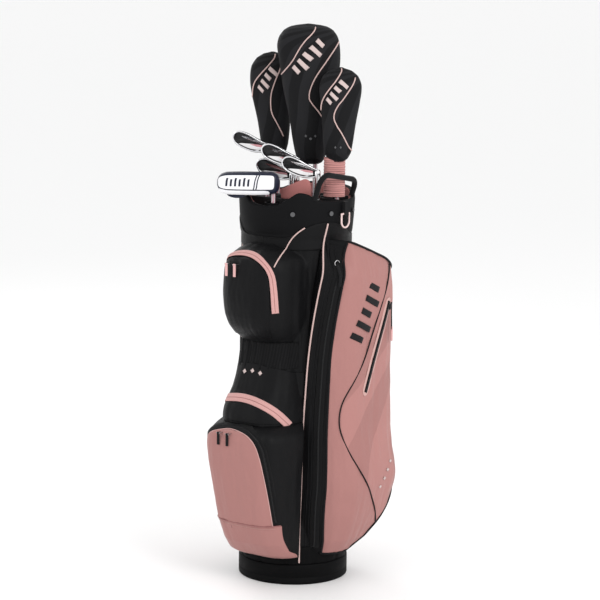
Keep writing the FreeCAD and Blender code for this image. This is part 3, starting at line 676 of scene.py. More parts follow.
def zip_teeth(name, line, outward, material, body="bag", pitch=3.0, size=(3.4, 1.7, 1.6)):
    """Two rows of interlocking teeth along a line of points; outward gives the way they face."""
    build = bmesh.new()
    spots = evenly(line, pitch / 2)
    for index in range(1, len(spots) - 1):
        run = (spots[index + 1] - spots[index - 1]).normalized()
        out = outward(spots[index])
        side = run.cross(out).normalized()
        shift = 0.9 if index % 2 else -0.9
        rotation = Matrix((side, run, out)).transposed().to_4x4()
        place = Matrix.Translation((spots[index] + side * shift) * MM) @ rotation
        bmesh.ops.create_cube(build, size=1.0, matrix=place @ Matrix.Diagonal(
            (size[0] * MM, size[1] * MM * 0.62, size[2] * MM, 1)))
    mesh = bpy.data.meshes.new(name)
    build.to_mesh(mesh)
    build.free()
    return piece(name, mesh, material, body, smooth=False)


def outward_from_axis(point):
    return Vector((point.x, point.y, 0)).normalized()


def zip_band(name, skin, points, width, tape, teeth, left=False, lift=1.4):
    """A zip with its teeth on show, on its tape."""
    ribbon(name + "_tape", skin, points, width, tape, lift=lift, left=left)
    line = skin_path(skin, points, lift + 0.6, left=left)
    zip_teeth(name + "_teeth", line, outward_from_axis, teeth)


def sealed_zip(name, skin, points, width, tape, line_material, lift=2.0):
    """A zip hidden under two taped lips that meet in a fine line."""
    ribbon(name + "_tape", skin, points, width, tape, lift=lift)
    line = skin_path(skin, points, lift + 0.1)
    piece(name + "_lips", rod_mesh(name + "_lips", line, 0.75, sides=6), line_material, "bag")


def stitches(name, line, material, body="bag", length=3.2, gap=5.0, radius=0.45):
    """A row of short thread stitches along a line."""
    build = bmesh.new()
    spots = evenly(line, gap)
    for start, ahead in zip(spots, spots[1:]):
        run = (ahead - start).normalized()
        middle = start + run * gap / 2
        rotation = run.to_track_quat("Z", "Y").to_matrix().to_4x4()
        place = Matrix.Translation(middle * MM) @ rotation
        bmesh.ops.create_cone(build, cap_ends=True, segments=6, radius1=radius * MM,
                              radius2=radius * MM, depth=length * MM, matrix=place)
    mesh = bpy.data.meshes.new(name)
    build.to_mesh(mesh)
    build.free()
    return piece(name, mesh, material, body)


# ---------------------------------------------------------------- base, tube and collar

def base():
    rows = []
    profile = [(0, 0), (110, 0), (118.5, 0.0), (120.6, 1.2), (121, 4), (121, 14), (119.8, 15),
               (119.8, 17), (121, 18), (121, 41), (120, 44.2), (117.4, 45), (115.4, 44.8),
               (115, 40), (115, 25), (60, 25), (0.5, 25)]
    for radius, height in profile:
        radius = max(radius, 0.5)
        rows.append([(radius * math.cos(turn), radius * math.sin(turn), height)
                     for turn in round_angles(96)])
    foot = solid("foot_shell", rows, foot_plastic, "bag")
    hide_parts("base_foot")

    def boot_radius(angle, height):
        pulse = 0.5 + 0.5 * math.cos(math.radians(angle * 12))
        return 119.4 - 1.3 * ease(pulse, 0.86, 0.98)
    grid = []
    for height, less in ((45, 4.5), (45, 0.6), (47, 0), (80, 0), (84, 0.8), (85, 2.6), (84, 4.5)):
        grid.append([on_skin(boot_radius, 360 * k / 192, height, -less) for k in range(192)])
    boot = piece("boot_shell", grid_mesh("boot_shell", grid, closed=True), foot_plastic, "bag")
    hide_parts("base_boot")


def tube():
    grid = [[on_skin(tube_skin, 360 * k / 128, height) for k in range(128)]
            for height in (26, 60, 200, 400, 600, 740, 780, 789)]
    skin = piece("tube_cloth", grid_mesh("tube_cloth", grid, closed=True), black_cloth, "bag")
    modifier(skin, "SOLIDIFY", thickness=1.6 * MM, offset=-1)
    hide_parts("bag_tube")


rim_height = curve_through([(-180, 848), (-140, 850), (-128, 862), (-118, 862), (-106, 842),
                            (-90, 836), (-74, 838), (-62, 852), (-52, 865), (-42, 862),
                            (-32, 850), (-10, 846), (20, 846), (38, 850), (52, 862), (90, 865),
                            (128, 862), (142, 850), (180, 848)])


COLLAR_FOOT = 765
LINING = 115.6
collar_radius = curve_through([(COLLAR_FOOT, 120), (772, 122), (790, 124), (830, 126.4),
                               (852, 126.8), (866, 126.2)])


def collar_skin(angle, height):
    return collar_radius(height)


def up_the_collar(angle, share):
    """The height at a share of the way from the collar's foot to its wavy rim."""
    return COLLAR_FOOT + (rim_height(angle) - COLLAR_FOOT) * share


def collar():
    sides = 180
    angles = [360 * k / sides - 180 for k in range(sides)]

    def ring(share, less):
        line = []
        for angle in angles:
            line.append(on_skin(collar_skin, angle, up_the_collar(angle, share), -less))
        return line
    grid = [ring(0, 5), ring(0, 1.2), ring(0.015, 0), ring(0.1, 0), ring(0.12, 0.8), ring(0.14, 0),
            ring(0.5, 0), ring(0.9, 0), ring(0.97, 0.4), ring(0.995, 2.2), ring(1.0, 5),
            ring(0.99, 8), ring(0.95, 9.2), ring(0.6, 9.4), ring(0.4, 9.4)]
    shell = piece("collar_shell", grid_mesh("collar_shell", grid, closed=True), collar_plastic,
                  "bag")
    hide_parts("top_collar")
    # pleated pink lining, just inside the rim
    pleats = 150
    grid = []
    for share in (0.42, 0.7, 0.9, 0.965):
        line = []
        for k in range(pleats * 4):
            angle = 360 * k / (pleats * 4) - 180
            pleat = 0.9 * math.sin(math.radians(angle * pleats * 0.5))
            line.append(on_skin(lambda a, h: LINING, angle, up_the_collar(angle, share),
                                pleat * 0.6))
        grid.append(line)
    lining = piece("lining_cloth", grid_mesh("lining_cloth", grid, closed=True, inward=True),
                   pink_lining, "bag")
    modifier(lining, "SOLIDIFY", thickness=0.8 * MM)
    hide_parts("collar_lining")


def keep_node(name, material):
    """A CAD node that stays as it is, with its material."""
    thing = nodes[name]
    thing.data.materials.clear()
    thing.data.materials.append(material)
    for face in thing.data.polygons:
        face.use_smooth = True
    if not any(item.type == "BEVEL" for item in thing.modifiers):
        modifier(thing, "WEIGHTED_NORMAL", keep_sharp=True)


# ---------------------------------------------------------------- stage and camera

CAMERA_TURN = 37.0
CAMERA_AWAY = 5.211
CAMERA_HEIGHT = 1.485
CAMERA_LENS = 144.0
CAMERA_DIP = 9.49
CAMERA_YAW = 0.10
CAMERA_ROLL = 0.7


def camera():
    data = bpy.data.cameras.new("camera")
    data.lens = CAMERA_LENS
    data.sensor_width = 36
    data.clip_start, data.clip_end = 0.1, 50
    made = bpy.data.objects.new("camera", data)
    bpy.context.scene.collection.objects.link(made)
    turn = math.radians(CAMERA_TURN)
    made.location = (CAMERA_AWAY * math.sin(turn), -CAMERA_AWAY * math.cos(turn), CAMERA_HEIGHT)
    aim = (Matrix.Rotation(turn - math.radians(CAMERA_YAW), 4, "Z")
           @ Matrix.Rotation(math.radians(90 - CAMERA_DIP), 4, "X")
           @ Matrix.Rotation(math.radians(CAMERA_ROLL), 4, "Z"))
    made.rotation_euler = aim.to_euler()
    bpy.context.scene.camera = made


def floor_and_lights():
    mesh = bpy.data.meshes.new("floor")
    mesh.from_pydata([(-30, -30, 0), (30, -30, 0), (30, 30, 0), (-30, 30, 0)], [], [(0, 1, 2, 3)])
    mesh.materials.append(shade("floor_white", (0.93, 0.93, 0.93), 0.6)[0])
    floor = bpy.data.objects.new("floor", mesh)
    bpy.context.scene.collection.objects.link(floor)
    world = bpy.data.worlds.new("studio")
    world.use_nodes = True
    world.node_tree.nodes["Background"].inputs["Color"].default_value = (1, 1, 1, 1)
    world.node_tree.nodes["Background"].inputs["Strength"].default_value = 1.0
    bpy.context.scene.world = world
    turn = math.radians(CAMERA_TURN)
    right = Vector((math.cos(turn), math.sin(turn), 0))
    front = Vector((math.sin(turn), -math.cos(turn), 0))
    target = Vector((0, 0, 0.6))
    for name, across, out, up, size, power in (
            ("key_light", 1.9, 2.8, 2.4, 1.5, 55), ("fill_light", -2.8, 1.6, 1.4, 1.6, 10),
            ("rim_light", -1.8, -2.4, 2.4, 1.2, 20)):
        light = bpy.data.lights.new(name, "AREA")
        light.size = size
        light.energy = power
        made = bpy.data.objects.new(name, light)
        made.location = right * across + front * out + Vector((0, 0, up))
        made.rotation_euler = (target - made.location).to_track_quat("-Z", "Y").to_euler()
        bpy.context.scene.collection.objects.link(made)
    bpy.context.scene.view_settings.view_transform = "Standard"


# ---------------------------------------------------------------- front pockets

def right_wall(height):
    """Where a front pocket's right wall meets the column seam."""
    return column_edge(height) - 0.8


def left_wall(height):
    return -180 - right_wall(height)


apron_top = curve_through([(-80, 768), (-62, 770), (-45, 789), (-32, 799), (-14, 800), (2, 788),
                           (18, 770), (34, 766)])


def apron_skin(angle, height):
    """The cloth that laps over the foot of the collar."""
    return max(collar_skin(angle, height) + 1.3, TUBE + 4)


def shoulder_skin(angle, height):
    below = upper_skin(angle, height) + 1.2 if height < 752 else 0
    return max(below, apron_skin(angle, height))


LOWER_FOOT, LOWER_TOP, WAIST_TOP, UPPER_TOP = 62, 366, 541, 752


def front_pockets():
    for name, skin, low, high, wrinkle in (
            ("upper_pocket", upper_skin, WAIST_TOP, UPPER_TOP, 3.2),
            ("middle_pocket", middle_skin, LOWER_TOP, WAIST_TOP + 0.5, 4.0),
            ("lower_pocket", lower_skin, LOWER_FOOT, LOWER_TOP, 4.2)):
        cloth = skin_piece(name + "_cloth", skin, (left_wall, right_wall), (low, high),
                           black_cloth, wrinkle=wrinkle)
        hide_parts(name)
    for name, side in (("right", False), ("left", True)):
        skin_piece(f"apron_{name}", apron_skin, (-91, 34), (742, apron_top), black_cloth,
                   wrinkle=0.5, tuck=1.2, columns=60, rows=16, left=side)

    upper_front()
    waist()
    lower_front()


def upper_front():
    """The upper pocket's padded door inside its arched zip, and the piping that runs down to it."""
    door_half = curve_through([(560, 19), (640, 20.5), (688, 19.5), (709, 15.5), (722, 10),
                               (729, 0.6)])
    skin_piece("upper_door", upper_skin, (lambda height: -91 - 1.25 * door_half(height),
                                          lambda height: -91 + door_half(height)),
               (556, 728.5), black_satin, wrinkle=1.6, tuck=2.0, lift=2.4)
    arch = [(-121, 684), (-116, 715), (-105, 731), (-94, 736), (-83, 732), (-75, 719), (-70, 697),
            (-68, 662), (-67, 613)]
    sealed_zip("upper_zip", upper_skin, arch, lambda share: 8 + 5 * share, zip_tape_pink,
               pink_line, lift=3.2)
    seam = skin_path(shoulder_skin, [(-45, 791), (-52.5, 779), (-59, 763), (-65, 738),
                                     (-68.5, 712)], 0.9, gap=3)
    piping("shoulder_piping", seam, pale_piping, radius=1.5)


def waist():
    """The elastic waist, the middle pocket's flap and its sloping zip."""
    def elastic(angle, height):
        ripple = math.sin(math.radians(angle) * 46)
        return middle_skin(angle, height) + 1.6 + 0.9 * ripple
    skin_piece("waist_elastic", elastic, (-126, -50), (484, 540), black_ribs,
               tuck=1.5, columns=260, rows=20)
    hem = curve_through([(-128, 478), (-108, 488), (-88, 493), (-70, 487), (-50, 474)])
    skin_piece("middle_flap", middle_skin, (-130, right_wall), (lambda angle: 372, hem),
               black_cloth, wrinkle=2.0, tuck=2.5, lift=2.6)
    arch = [(-122, 398), (-112, 412), (-96, 421), (-80, 417), (-68, 400), (-57, 366)]
    sealed_zip("middle_zip", middle_skin, arch, 16, zip_tape_pink, pink_line,
               lift=4.6)
    for number, angle in enumerate((-98.5, -90.5, -82.5)):
        emblem_dot(f"middle_mark_{number}", lambda a, h: on_skin(middle_skin, a, h, 3.6),
                   (angle, 478 - 0.05 * (angle + 90) ** 2), 2.0, 5.2)


def emblem_dot(name, point_at, place, half, rise, material=white_print, body="bag"):
    """A small printed lozenge; half is half its width in the place's units, rise half its height."""
    across, height = place
    patch(name, point_at, [(across - half, height), (across, height - rise),
                           (across + half, height), (across, height + rise)], material,
          body, cells=3)


def lower_front():
    """The lower pocket's pink door and toe, the black zip round the door and the toe loop."""
    door_half = curve_through([(148, 23.5), (211, 21.5), (269, 19.5), (303, 17.8), (331, 15.2),
                               (345, 11.5), (353, 6), (356.5, 0.5)])

    def door_left(height):
        return -94 - 1.12 * door_half(height)

    def door_right(height):
        return -90 + door_half(height)
    door = skin_piece("lower_door", lower_skin, (door_left, door_right), (148, 356), pink_satin,
                      wrinkle=1.9, tuck=3.0, lift=2.6, columns=90, rows=110)
    toe_right = curve_through([(64, -48.5), (72, -49.5), (83, -56), (114, -60), (150, -61)])
    toe = skin_piece("lower_toe", lower_skin, (lambda height: -180 - toe_right(height), toe_right),
                     (65, 147.4), pink_satin, wrinkle=1.4, tuck=3.0, lift=2.0,
                     columns=90, rows=40)
    arch = [(-119, 150), (-118, 250), (-116, 318), (-110, 347), (-100, 359), (-87, 361),
            (-77.5, 352), (-71.5, 330), (-69, 290), (-66.5, 215), (-64.5, 152)]
    zip_band("lower_zip", lower_skin, arch, 15, zip_tape_black, teeth_black,
             lift=1.8)
    # the door's edge, and a thin cord along it whose pale colour is a painted highlight on that edge
    edge = [(door_right(height), height) for height in (149, 200, 250, 300, 331, 345, 353)]
    edge.append((-94, 357))
    edge += [(door_left(height), height) for height in (353, 345, 331, 300, 250, 200, 149)]
    piping("lower_door_highlight_piping", skin_path(lower_skin, edge, 2.6, gap=3), highlight_pink_edge,
           radius=1.1)
    piping("toe_seam", skin_path(lower_skin, [(-119, 148), (-90, 147.5), (-61.5, 148.5)], 3.0),
           pink_line, radius=1.2)
    stitches("toe_stitches", skin_path(lower_skin, [(-118, 142), (-90, 141.5), (-63, 142)], 3.0,
                                       gap=3), thread_pale)
    loop = []
    for share in range(25):
        turn = math.pi * share / 24
        loop.append(on_skin(lambda a, h: 119.6 + 15 * math.sin(turn), -112, 84 - 32 * share / 24))
    rows = []
    for point in loop:
        across = Vector((math.sin(math.radians(112)), math.cos(math.radians(112)), 0)) * 5
        rows.append([point - across, point - across * 0.5, point + across * 0.5, point + across])
    tab = piece("toe_loop", grid_mesh("toe_loop", rows), webbing, "bag")
    modifier(tab, "SOLIDIFY", thickness=1.4 * MM, offset=0)


# ---------------------------------------------------------------- side pockets

def side_pockets():
    for left, word, skin in ((False, "right", side_skin), (True, "left", left_skin)):
        node_name = "side_pocket_" + word
        gusset = skin_piece(f"gusset_{word}", skin,
                            (column_edge, lambda height: panel_edge(height) + 0.4),
                            (side_bottom, side_top), black_cloth, wrinkle=1.6,
                            left=left, columns=30, rows=120, lift=-1.0)
        front = skin_piece(f"garment_front_{word}", skin, (panel_edge, panel_seam),
                           (side_bottom, side_top), pink_satin, wrinkle=2.2,
                           left=left, columns=60, rows=130, lift=0.6)
        rear = skin_piece(f"garment_rear_{word}", skin, (panel_seam, 63),
                          (side_bottom, side_top), pink_stripe, wrinkle=2.2,
                          left=left, columns=80, rows=130, lift=0.6)
        for made in (gusset, front, rear):
            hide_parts(node_name)

        def edge_line(edge, low, high, steps=9):
            heights = [low + (high - low) * k / steps for k in range(steps + 1)]
            return [(edge(height), height) for height in heights]
        piping(f"panel_front_piping_{word}",
               skin_path(skin, edge_line(lambda height: panel_edge(height) - 0.3, 68, 760), 0.9,
                         left=left), black_piping, radius=2.3)
        top = [(angle, side_top(angle) - 1) for angle in (-9, 0, 8, 16, 24, 30, 34, 40, 50, 62)]
        piping(f"panel_top_piping_{word}", skin_path(skin, top, 1.4, left=left), black_piping,
               radius=2.6)
        foot = [(angle, side_bottom(angle) + 1)
                for angle in (-24, -10, 0, 8, 16, 24, 30, 34, 40, 50, 62)]
        piping(f"panel_foot_piping_{word}", skin_path(skin, foot, 1.2, left=left), black_piping,
               radius=2.2)
        piping(f"column_piping_{word}",
               skin_path(shoulder_over(skin), edge_line(column_edge, 50, 800, 12), 1.4, left=left),
               pale_piping, radius=1.9)
        piping(f"panel_seam_{word}",
               skin_path(skin, edge_line(panel_seam, 128, 702, 12), 1.1, left=left), black_piping,
               radius=1.5)

        def between(share):
            return lambda height: (column_edge(height) * (1 - share) + panel_edge(height) * share)
        zip_band(f"gusset_zip_{word}", skin, edge_line(between(0.68), 84, 752), 16,
                 zip_tape_black, teeth_black, left=left)
        for number, share in enumerate((0.3, 0.44)):
            piping(f"gusset_seam_{word}_{number}",
                   skin_path(skin, edge_line(between(share), 76, 756), 0.2, left=left),
                   black_piping, radius=0.9)
        slanted_zip(word, skin, left)
    side_marks()
    gusset_pull()
    slider_and_pull()


def shoulder_over(skin):
    """The garment pocket's skin, carried on up over the collar's cloth."""
    def over(angle, height):
        low = skin(angle, height) if height < 764 else 0
        return max(low, apron_skin(angle, height) if height > 742 else TUBE + 2,
                   119.6 if height < 86 else 0)
    return over


# the slanted zip lies on the line that its slider travels
ZIP_TOP = (84, 612)
ZIP_LEAN = math.radians(24)


def along_zip(run):
    """The (angle, height) place a length down the slanted zip from its slider."""
    across = ZIP_TOP[0] - run * math.sin(ZIP_LEAN)
    return math.degrees(math.atan2(across, 187)), ZIP_TOP[1] - run * math.cos(ZIP_LEAN)


def slanted_zip(word, skin, left):
    welt = [along_zip(run) for run in (-18, 30, 90, 150, 206)]
    ribbon(f"slant_welt_{word}", skin, welt,
           lambda share: 20 * (1 - abs(2 * share - 1) ** 16) + 2, pale_satin,
           lift=1.4, left=left)
    line = [along_zip(run) for run in (-10, 40, 100, 150, 198)]
    zip_band(f"slant_zip_{word}", skin, line, 9.5, zip_tape_black, teeth_black,
             left=left, lift=2.6)


def side_marks():
    """Plain marks in place of lettering: black bars beside the seam and pale dots low down."""
    bars_on("side_bar", lambda a, h: on_skin(side_skin, a, h, 1.5), (-13.5, 556), (7.5, 686), 5,
            (13.5, -21), 0.46, black_print)
    for number in range(4):
        emblem_dot(f"side_mark_{number}", lambda a, h: on_skin(side_skin, a, h, 1.5),
                   (14 + 3.4 * number, 214 + 17 * number), 1.5, 4.0)


def gusset_pull():
    """A ring and its webbing tag on the long zip's slider."""
    angle, height = -18.5, 716
    middle = on_skin(side_skin, angle, height, 4)
    turn = math.radians(angle)
    along = Vector((-math.sin(turn), math.cos(turn), 0))
    ring = [middle + (along * math.cos(a) + Vector((0, 0, 1)) * math.sin(a)) * 6
            for a in round_angles(28)]
    piece("gusset_ring", rod_mesh("gusset_ring", ring, 1.1, closed=True), zinc, "bag")
    rows = []
    for k in range(20):
        drop = 5 + 2.3 * k
        width = 3.6 if k < 18 else 3.2
        out = on_skin(side_skin, angle - 0.4 - drop * 0.03, height - drop, 3.4)
        rows.append([out - along * width, out, out + along * width])
    tag = piece("gusset_tag", grid_mesh("gusset_tag", rows), webbing, "bag")
    modifier(tag, "SOLIDIFY", thickness=1.6 * MM, offset=0)


def slider_and_pull():
    """The slider of the right slanted zip with its cord pull, which travels with it."""
    angle, height = along_zip(0)
    middle = on_skin(side_skin, angle, height, 7.4)
    down = Vector((0, -math.sin(ZIP_LEAN), -math.cos(ZIP_LEAN)))
    out = outward_from_axis(middle)
    side = down.cross(out).normalized()
    rows = []
    for run, half, rise in ((-8, 2.2, 0.6), (-7, 3.6, 1.8), (-2, 4.2, 2.4), (5, 3.6, 2.4),
                            (9, 2.6, 1.6), (10, 1.6, 0.6)):
        rows.append([middle + down * run + side * (half * math.cos(a)) + out * (rise * math.sin(a))
                     for a in round_angles(24)])
    slider = solid("slant_slider", rows, teeth_black, "side_zip_slider")
    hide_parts("side_zip_slider")
    loop = []
    for k in range(41):
        share = k / 40
        wide = 4.4 * math.sin(math.pi * share) ** 0.8 * (1 if share < 0.5 else -1)
        drop = 52 * (1 - abs(2 * share - 1) ** 1.5)
        loop.append(middle + Vector((0, 0, -1)) * drop + side * (wide * 0.6)
                    + out * (1.6 + 1.2 * math.sin(math.pi * share)))
    piece("slant_pull_cord", rod_mesh("slant_pull_cord", loop, 1.1, sides=8), black_piping,
          "side_zip_slider")
    tip = loop[20]
    rows = []
    for run, size in ((-7, 1.6), (-6, 2.6), (0, 3.0), (22, 3.0), (25, 2.2), (26, 1.0)):
        rows.append([tip + Vector((0, 0, -run)) + side * (size * math.cos(a))
                     + out * (size * 0.8 * math.sin(a)) for a in round_angles(20)])
    solid("slant_pull_grip", rows, pink_plastic, "side_zip_slider")


# ---------------------------------------------------------------- spine and strap

def spine_and_strap():
    rows = []
    for height in [92, 93, 97] + list(range(110, 740, 14)) + [747, 751, 752]:
        squeeze = 1 - 0.5 * (1 - ease(height, 92, 98)) - 0.5 * ease(height, 747, 752)
        line = []
        for k in range(33):
            share = k / 16 - 1
            out = TUBE + 3 + 9.5 * (1 - abs(share) ** 6) * squeeze
            line.append((44 * share, out - 3.5 * abs(share) ** 2 - (4 if abs(share) > 0.98 else 0),
                         height))
        rows.append(line)
    panel = piece("spine_cloth", grid_mesh("spine_cloth", rows), black_cloth, "bag")
    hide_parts("spine_panel")
    for side in (-1, 1):
        line = [(side * 41, TUBE + 8.6, 96), (side * 41, TUBE + 8.6, 748)]
        piping(f"spine_piping_{'left' if side < 0 else 'right'}", evenly(line, 8), pale_piping)
    bow = smooth_path([(127.5, 250), (150, 322), (170, 400), (175.5, 470), (175.5, 552),
                       (171, 620), (153, 680), (127.5, 750)], 10)
    rows = []
    for index, (out, height) in enumerate(bow):
        share = index / (len(bow) - 1)
        padding = ease(share, 0.16, 0.3) * (1 - ease(share, 0.7, 0.84))
        half = 17 + 10 * padding
        thick = 1.6 + 2.6 * padding
        ahead = bow[min(index + 1, len(bow) - 1)]
        behind = bow[max(index - 1, 0)]
        run = Vector((ahead[0] - behind[0], ahead[1] - behind[1])).normalized()
        line = []
        for k in range(28):
            turn = math.tau * k / 28
            across = powered(math.cos(turn), 0.35) * half
            out_of = powered(math.sin(turn), 0.6) * thick
            line.append((across, out + run.y * out_of, height - run.x * out_of))
        rows.append(line)
    strap = solid("strap_cloth", rows, black_cloth, "bag")
    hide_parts("shoulder_strap")


# ---------------------------------------------------------------- dividers, handle, small things

def mouth():
    """The dividers, the padded roll on the front one, and the nodes that keep their CAD shape."""
    low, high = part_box("divider_pad_front")
    start, end = low.x / MM, high.x / MM
    middle, base_height = (low.y + high.y) / 2 / MM, low.z / MM
    crest = curve_through([(start, 868), (start + 26, 879), (start + 54, 890), (end - 14, 893),
                           (end - 5, 889), (end, 876)])
    rows = []
    for k in range(61):
        along = start + (end - start) * k / 60
        puff = math.sin(math.pi * clamp(k / 60, 0.02, 0.98)) ** 0.25
        half_height = (crest(along) - base_height) / 2
        line = []
        for s in range(24):
            turn = math.tau * s / 24
            across = powered(math.cos(turn), 0.7) * 3.9 * puff
            up = powered(math.sin(turn), 0.5) * half_height
            line.append((along, middle + across + 0.4 * noise.noise(Vector((along * 0.2, up * 0.2,
                                                                            1.0))),
                         base_height + half_height + up))
        rows.append(line)
    roll = solid("divider_roll", rows, pink_lining, "bag")
    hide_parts("divider_pad_front")
    for material, names in (
            (grid_plastic, "divider_grid"), (felt, "floor_pad"), (collar_plastic, "putter_well"),
            (pink_lining, "divider_panel_rear divider_panel_centre divider_panel_front"),
            (webbing, "carry_handle towel_ring_tab lower_zip_pull_left lower_zip_pull_right"),
            (pale_plastic, "towel_ring"), (gunmetal, "collar_studs"), (zinc, "zip_sliders"),
            (pink_plastic, "upper_zip_pull_left upper_zip_pull_right side_zip_slider")):
        for name in names.split():
            keep_node(name, material)


# ---------------------------------------------------------------- head covers

HEAD_TURN = 37.0
BLADE_ABOVE_TIP = 46


def beside(middle, along, across, height):
    """A point beside a club's middle: along its head and across it."""
    spin = math.radians(HEAD_TURN)
    return Vector((middle.x + along * math.cos(spin) - across * math.sin(spin),
                   middle.y + along * math.sin(spin) + across * math.cos(spin), height))


def cover_place(name):
    """The cover's middle in plan, from its CAD shell."""
    low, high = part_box(name + "_cover")
    return (low + high) / 2 / MM


class Cover:
    """A padded cover: rings that are rounded ovals, wide along the head and thin across it."""

    def __init__(self, club, widths, depths, neck_shift, crown_shift=0.0):
        self.club = club
        self.crown = crown_shift
        self.middle = cover_place(club)
        self.half = curve_through(widths)
        self.depth = curve_through(depths)
        self.low, self.high = widths[0][0], widths[-1][0]
        reach = self.high - self.low
        self.shift = curve_through([(self.low, 1), (self.low + reach * 0.35, 0.55),
                                    (self.low + reach * 0.7, 0)])
        self.neck = neck_shift

    def point(self, angle, height, lift=0.0):
        half = self.half(height) + lift
        depth = self.depth(height) + lift
        turn = math.radians(angle)
        bend = self.shift(height)
        along = powered(math.cos(turn), 0.88) * half
        across = powered(math.sin(turn), 0.88) * depth
        along += self.neck[0] * bend + self.crown * ease(height, self.high - 90, self.high - 40)
        across += self.neck[1] * bend
        return beside(self.middle, along, across, height)

    def facing(self, along, height, lift=0.0, back=False):
        """The point on the front (or back) that lies at a share -1..1 of the half width."""
        angle = math.degrees(math.acos(clamp(along, -1, 1) * 0.999))
        return self.point(angle if back else -angle, height, lift)

    def build(self, material, slot, quilt=1.2):
        heights = [self.low + (self.high - self.low) * k / 110 for k in range(111)]
        grid = []
        for height in heights:
            line = []
            for k in range(96):
                angle = 360 * k / 96
                spot = self.point(angle, height)
                crease = quilt * noise.noise(Vector((spot.x * 0.03, spot.y * 0.03,
                                                     height * 0.018)))
                line.append(self.point(angle, height, crease))
            grid.append(line)
        name = self.club + "_cover_cloth"
        made = solid(name, grid, material, self.club + "_cover")
        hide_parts(self.club + "_cover", self.club + "_cover_skirt")
        return made

    def marks(self, first, last, count, across, dots):
        """Plain slanted bars between the two pipings, and small dim dots near the neck."""
        def on_front(along, height):
            return self.facing(along, height, 1.6)
        bars_on(self.club + "_bar", on_front, first, last, count, across, 0.5, white_print,
                self.club + "_cover")
        for number, place in enumerate(dots):
            emblem_dot(f"{self.club}_dot_{number}", on_front, place, 0.06, 3.4, dim_print,
                       self.club + "_cover")

    def seam(self, name, places, material=None, radius=1.35):
        """Piping through (share of half width, height) places, on the front and on the back."""
        for back in (False, True):
            line = [self.facing(along, height, 0.9, back)
                    for along, height in smooth_path(places, 16)]
            piping(f"{self.club}_{name}_{'back' if back else 'front'}", evenly(line, 4),
                   material or pale_piping, body=self.club + "_cover",
                   radius=radius)


def covers():
    driver = Cover("driver",
                   [(913, 19), (916, 25), (925, 31), (945, 36), (975, 41), (1010, 46),
                    (1050, 54), (1100, 62), (1140, 67), (1170, 68.5), (1190, 64), (1204, 54),
                    (1212, 40), (1217, 18), (1218, 3)],
                   [(913, 15), (925, 24), (1000, 33), (1100, 41), (1160, 42), (1190, 38),
                    (1208, 26), (1218, 3)], (4, 0), -4.0)
    driver.build(cover_cloth, "cover_fabric")
    driver.seam("piping_left", [(0.30, 1211), (0.0, 1190), (-0.5, 1140), (-0.97, 1108)])
    driver.seam("piping_right", [(0.97, 1180), (0.5, 1140), (0.12, 1100), (-0.02, 1068),
                                 (0.04, 1048), (0.42, 1022), (0.98, 985)])
    driver.marks((-0.55, 1124), (0.36, 1196), 5, (0.27, -20),
                 [(-0.2, 976), (0.0, 970), (0.2, 976)])
    fairway = Cover("fairway_wood",
                    [(928, 18), (934, 25), (950, 30), (980, 34), (1010, 38), (1060, 47), (1095, 50),
                     (1120, 47), (1138, 36), (1148, 20), (1152, 3)],
                    [(928, 15), (960, 21), (1020, 26), (1100, 28), (1130, 23), (1146, 12),
                     (1152, 3)], (7, -13))
    fairway.build(cover_cloth, "cover_fabric")
    fairway.seam("piping_left", [(0.2, 1147), (-0.2, 1120), (-0.75, 1085), (-0.98, 1050)])
    fairway.seam("piping_right", [(0.5, 1138), (0.1, 1090), (-0.08, 1045), (0.0, 1010),
                                  (0.6, 965)])
    fairway.marks((-0.62, 1074), (0.0, 1128), 4, (0.3, -17), [])
    hybrid = Cover("hybrid",
                   [(926, 14), (932, 22), (945, 29), (970, 33), (1010, 37), (1060, 43), (1090, 45),
                    (1110, 38), (1122, 24), (1129, 3)],
                   [(926, 13), (945, 19), (1000, 23), (1080, 26), (1110, 20), (1129, 3)], (-5, 0))
    hybrid.build(cover_cloth, "cover_fabric")
    hybrid.seam("piping_left", [(0.1, 1127), (-0.25, 1098), (-0.85, 1060), (-0.99, 1035)])
    hybrid.seam("piping_right", [(0.75, 1108), (0.2, 1070), (-0.25, 1030), (-0.1, 1005),
                                 (0.55, 965), (0.98, 950)])
    hybrid.marks((-0.68, 1060), (0.1, 1111), 4, (0.32, -15), [(-0.14, 958), (0.14, 958)])
    sleeve()


SLEEVE_FOOT, SLEEVE_TOP = 849, 934
SLEEVE_SHIFT = Vector((7, 0, 0))


def sleeve():
    """The hybrid's pink knitted sleeve, below its cover: a flattened tube round its shaft."""
    low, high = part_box("hybrid_shaft")
    middle = (low + high) / 2 / MM - SLEEVE_SHIFT
    rows = []
    for k in range(70):
        height = SLEEVE_FOOT + (SLEEVE_TOP - SLEEVE_FOOT) * k / 69
        pleat = 0.5 * math.sin(k * 1.1)
        line = []
        for s in range(96):
            turn = math.tau * s / 96
            along = (23 + pleat + 0.3 * math.sin(s * 2)) * math.cos(turn)
            across = (15 + pleat) * math.sin(turn)
            line.append(beside(middle, along, across, height))
        rows.append(line)
    knit = piece("hybrid_sleeve", grid_mesh("hybrid_sleeve", rows, closed=True), pink_rib,
                 "hybrid")
    modifier(knit, "SOLIDIFY", thickness=1.5 * MM, offset=-1)


# ---------------------------------------------------------------- irons

class HeadFrame:
    """Local directions of a head: along (towards the toe), up, and out (away from the face)."""

    def __init__(self, club):
        low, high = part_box(club + "_shaft")
        self.axis = (low + high) / 2 / MM
        spin = math.radians(HEAD_TURN)
        self.toe = Vector((-math.cos(spin), -math.sin(spin), 0))
        self.out = Vector((math.sin(spin), -math.cos(spin), 0))

    def at(self, along, out, height):
        return Vector((self.axis.x, self.axis.y, 0)) + self.toe * along + self.out * out + Vector(
            (0, 0, height))

    def circle(self, radius, height, count):
        """A level circle round the shaft."""
        return [self.at(radius * math.cos(turn), radius * math.sin(turn), height)
                for turn in round_angles(count)]


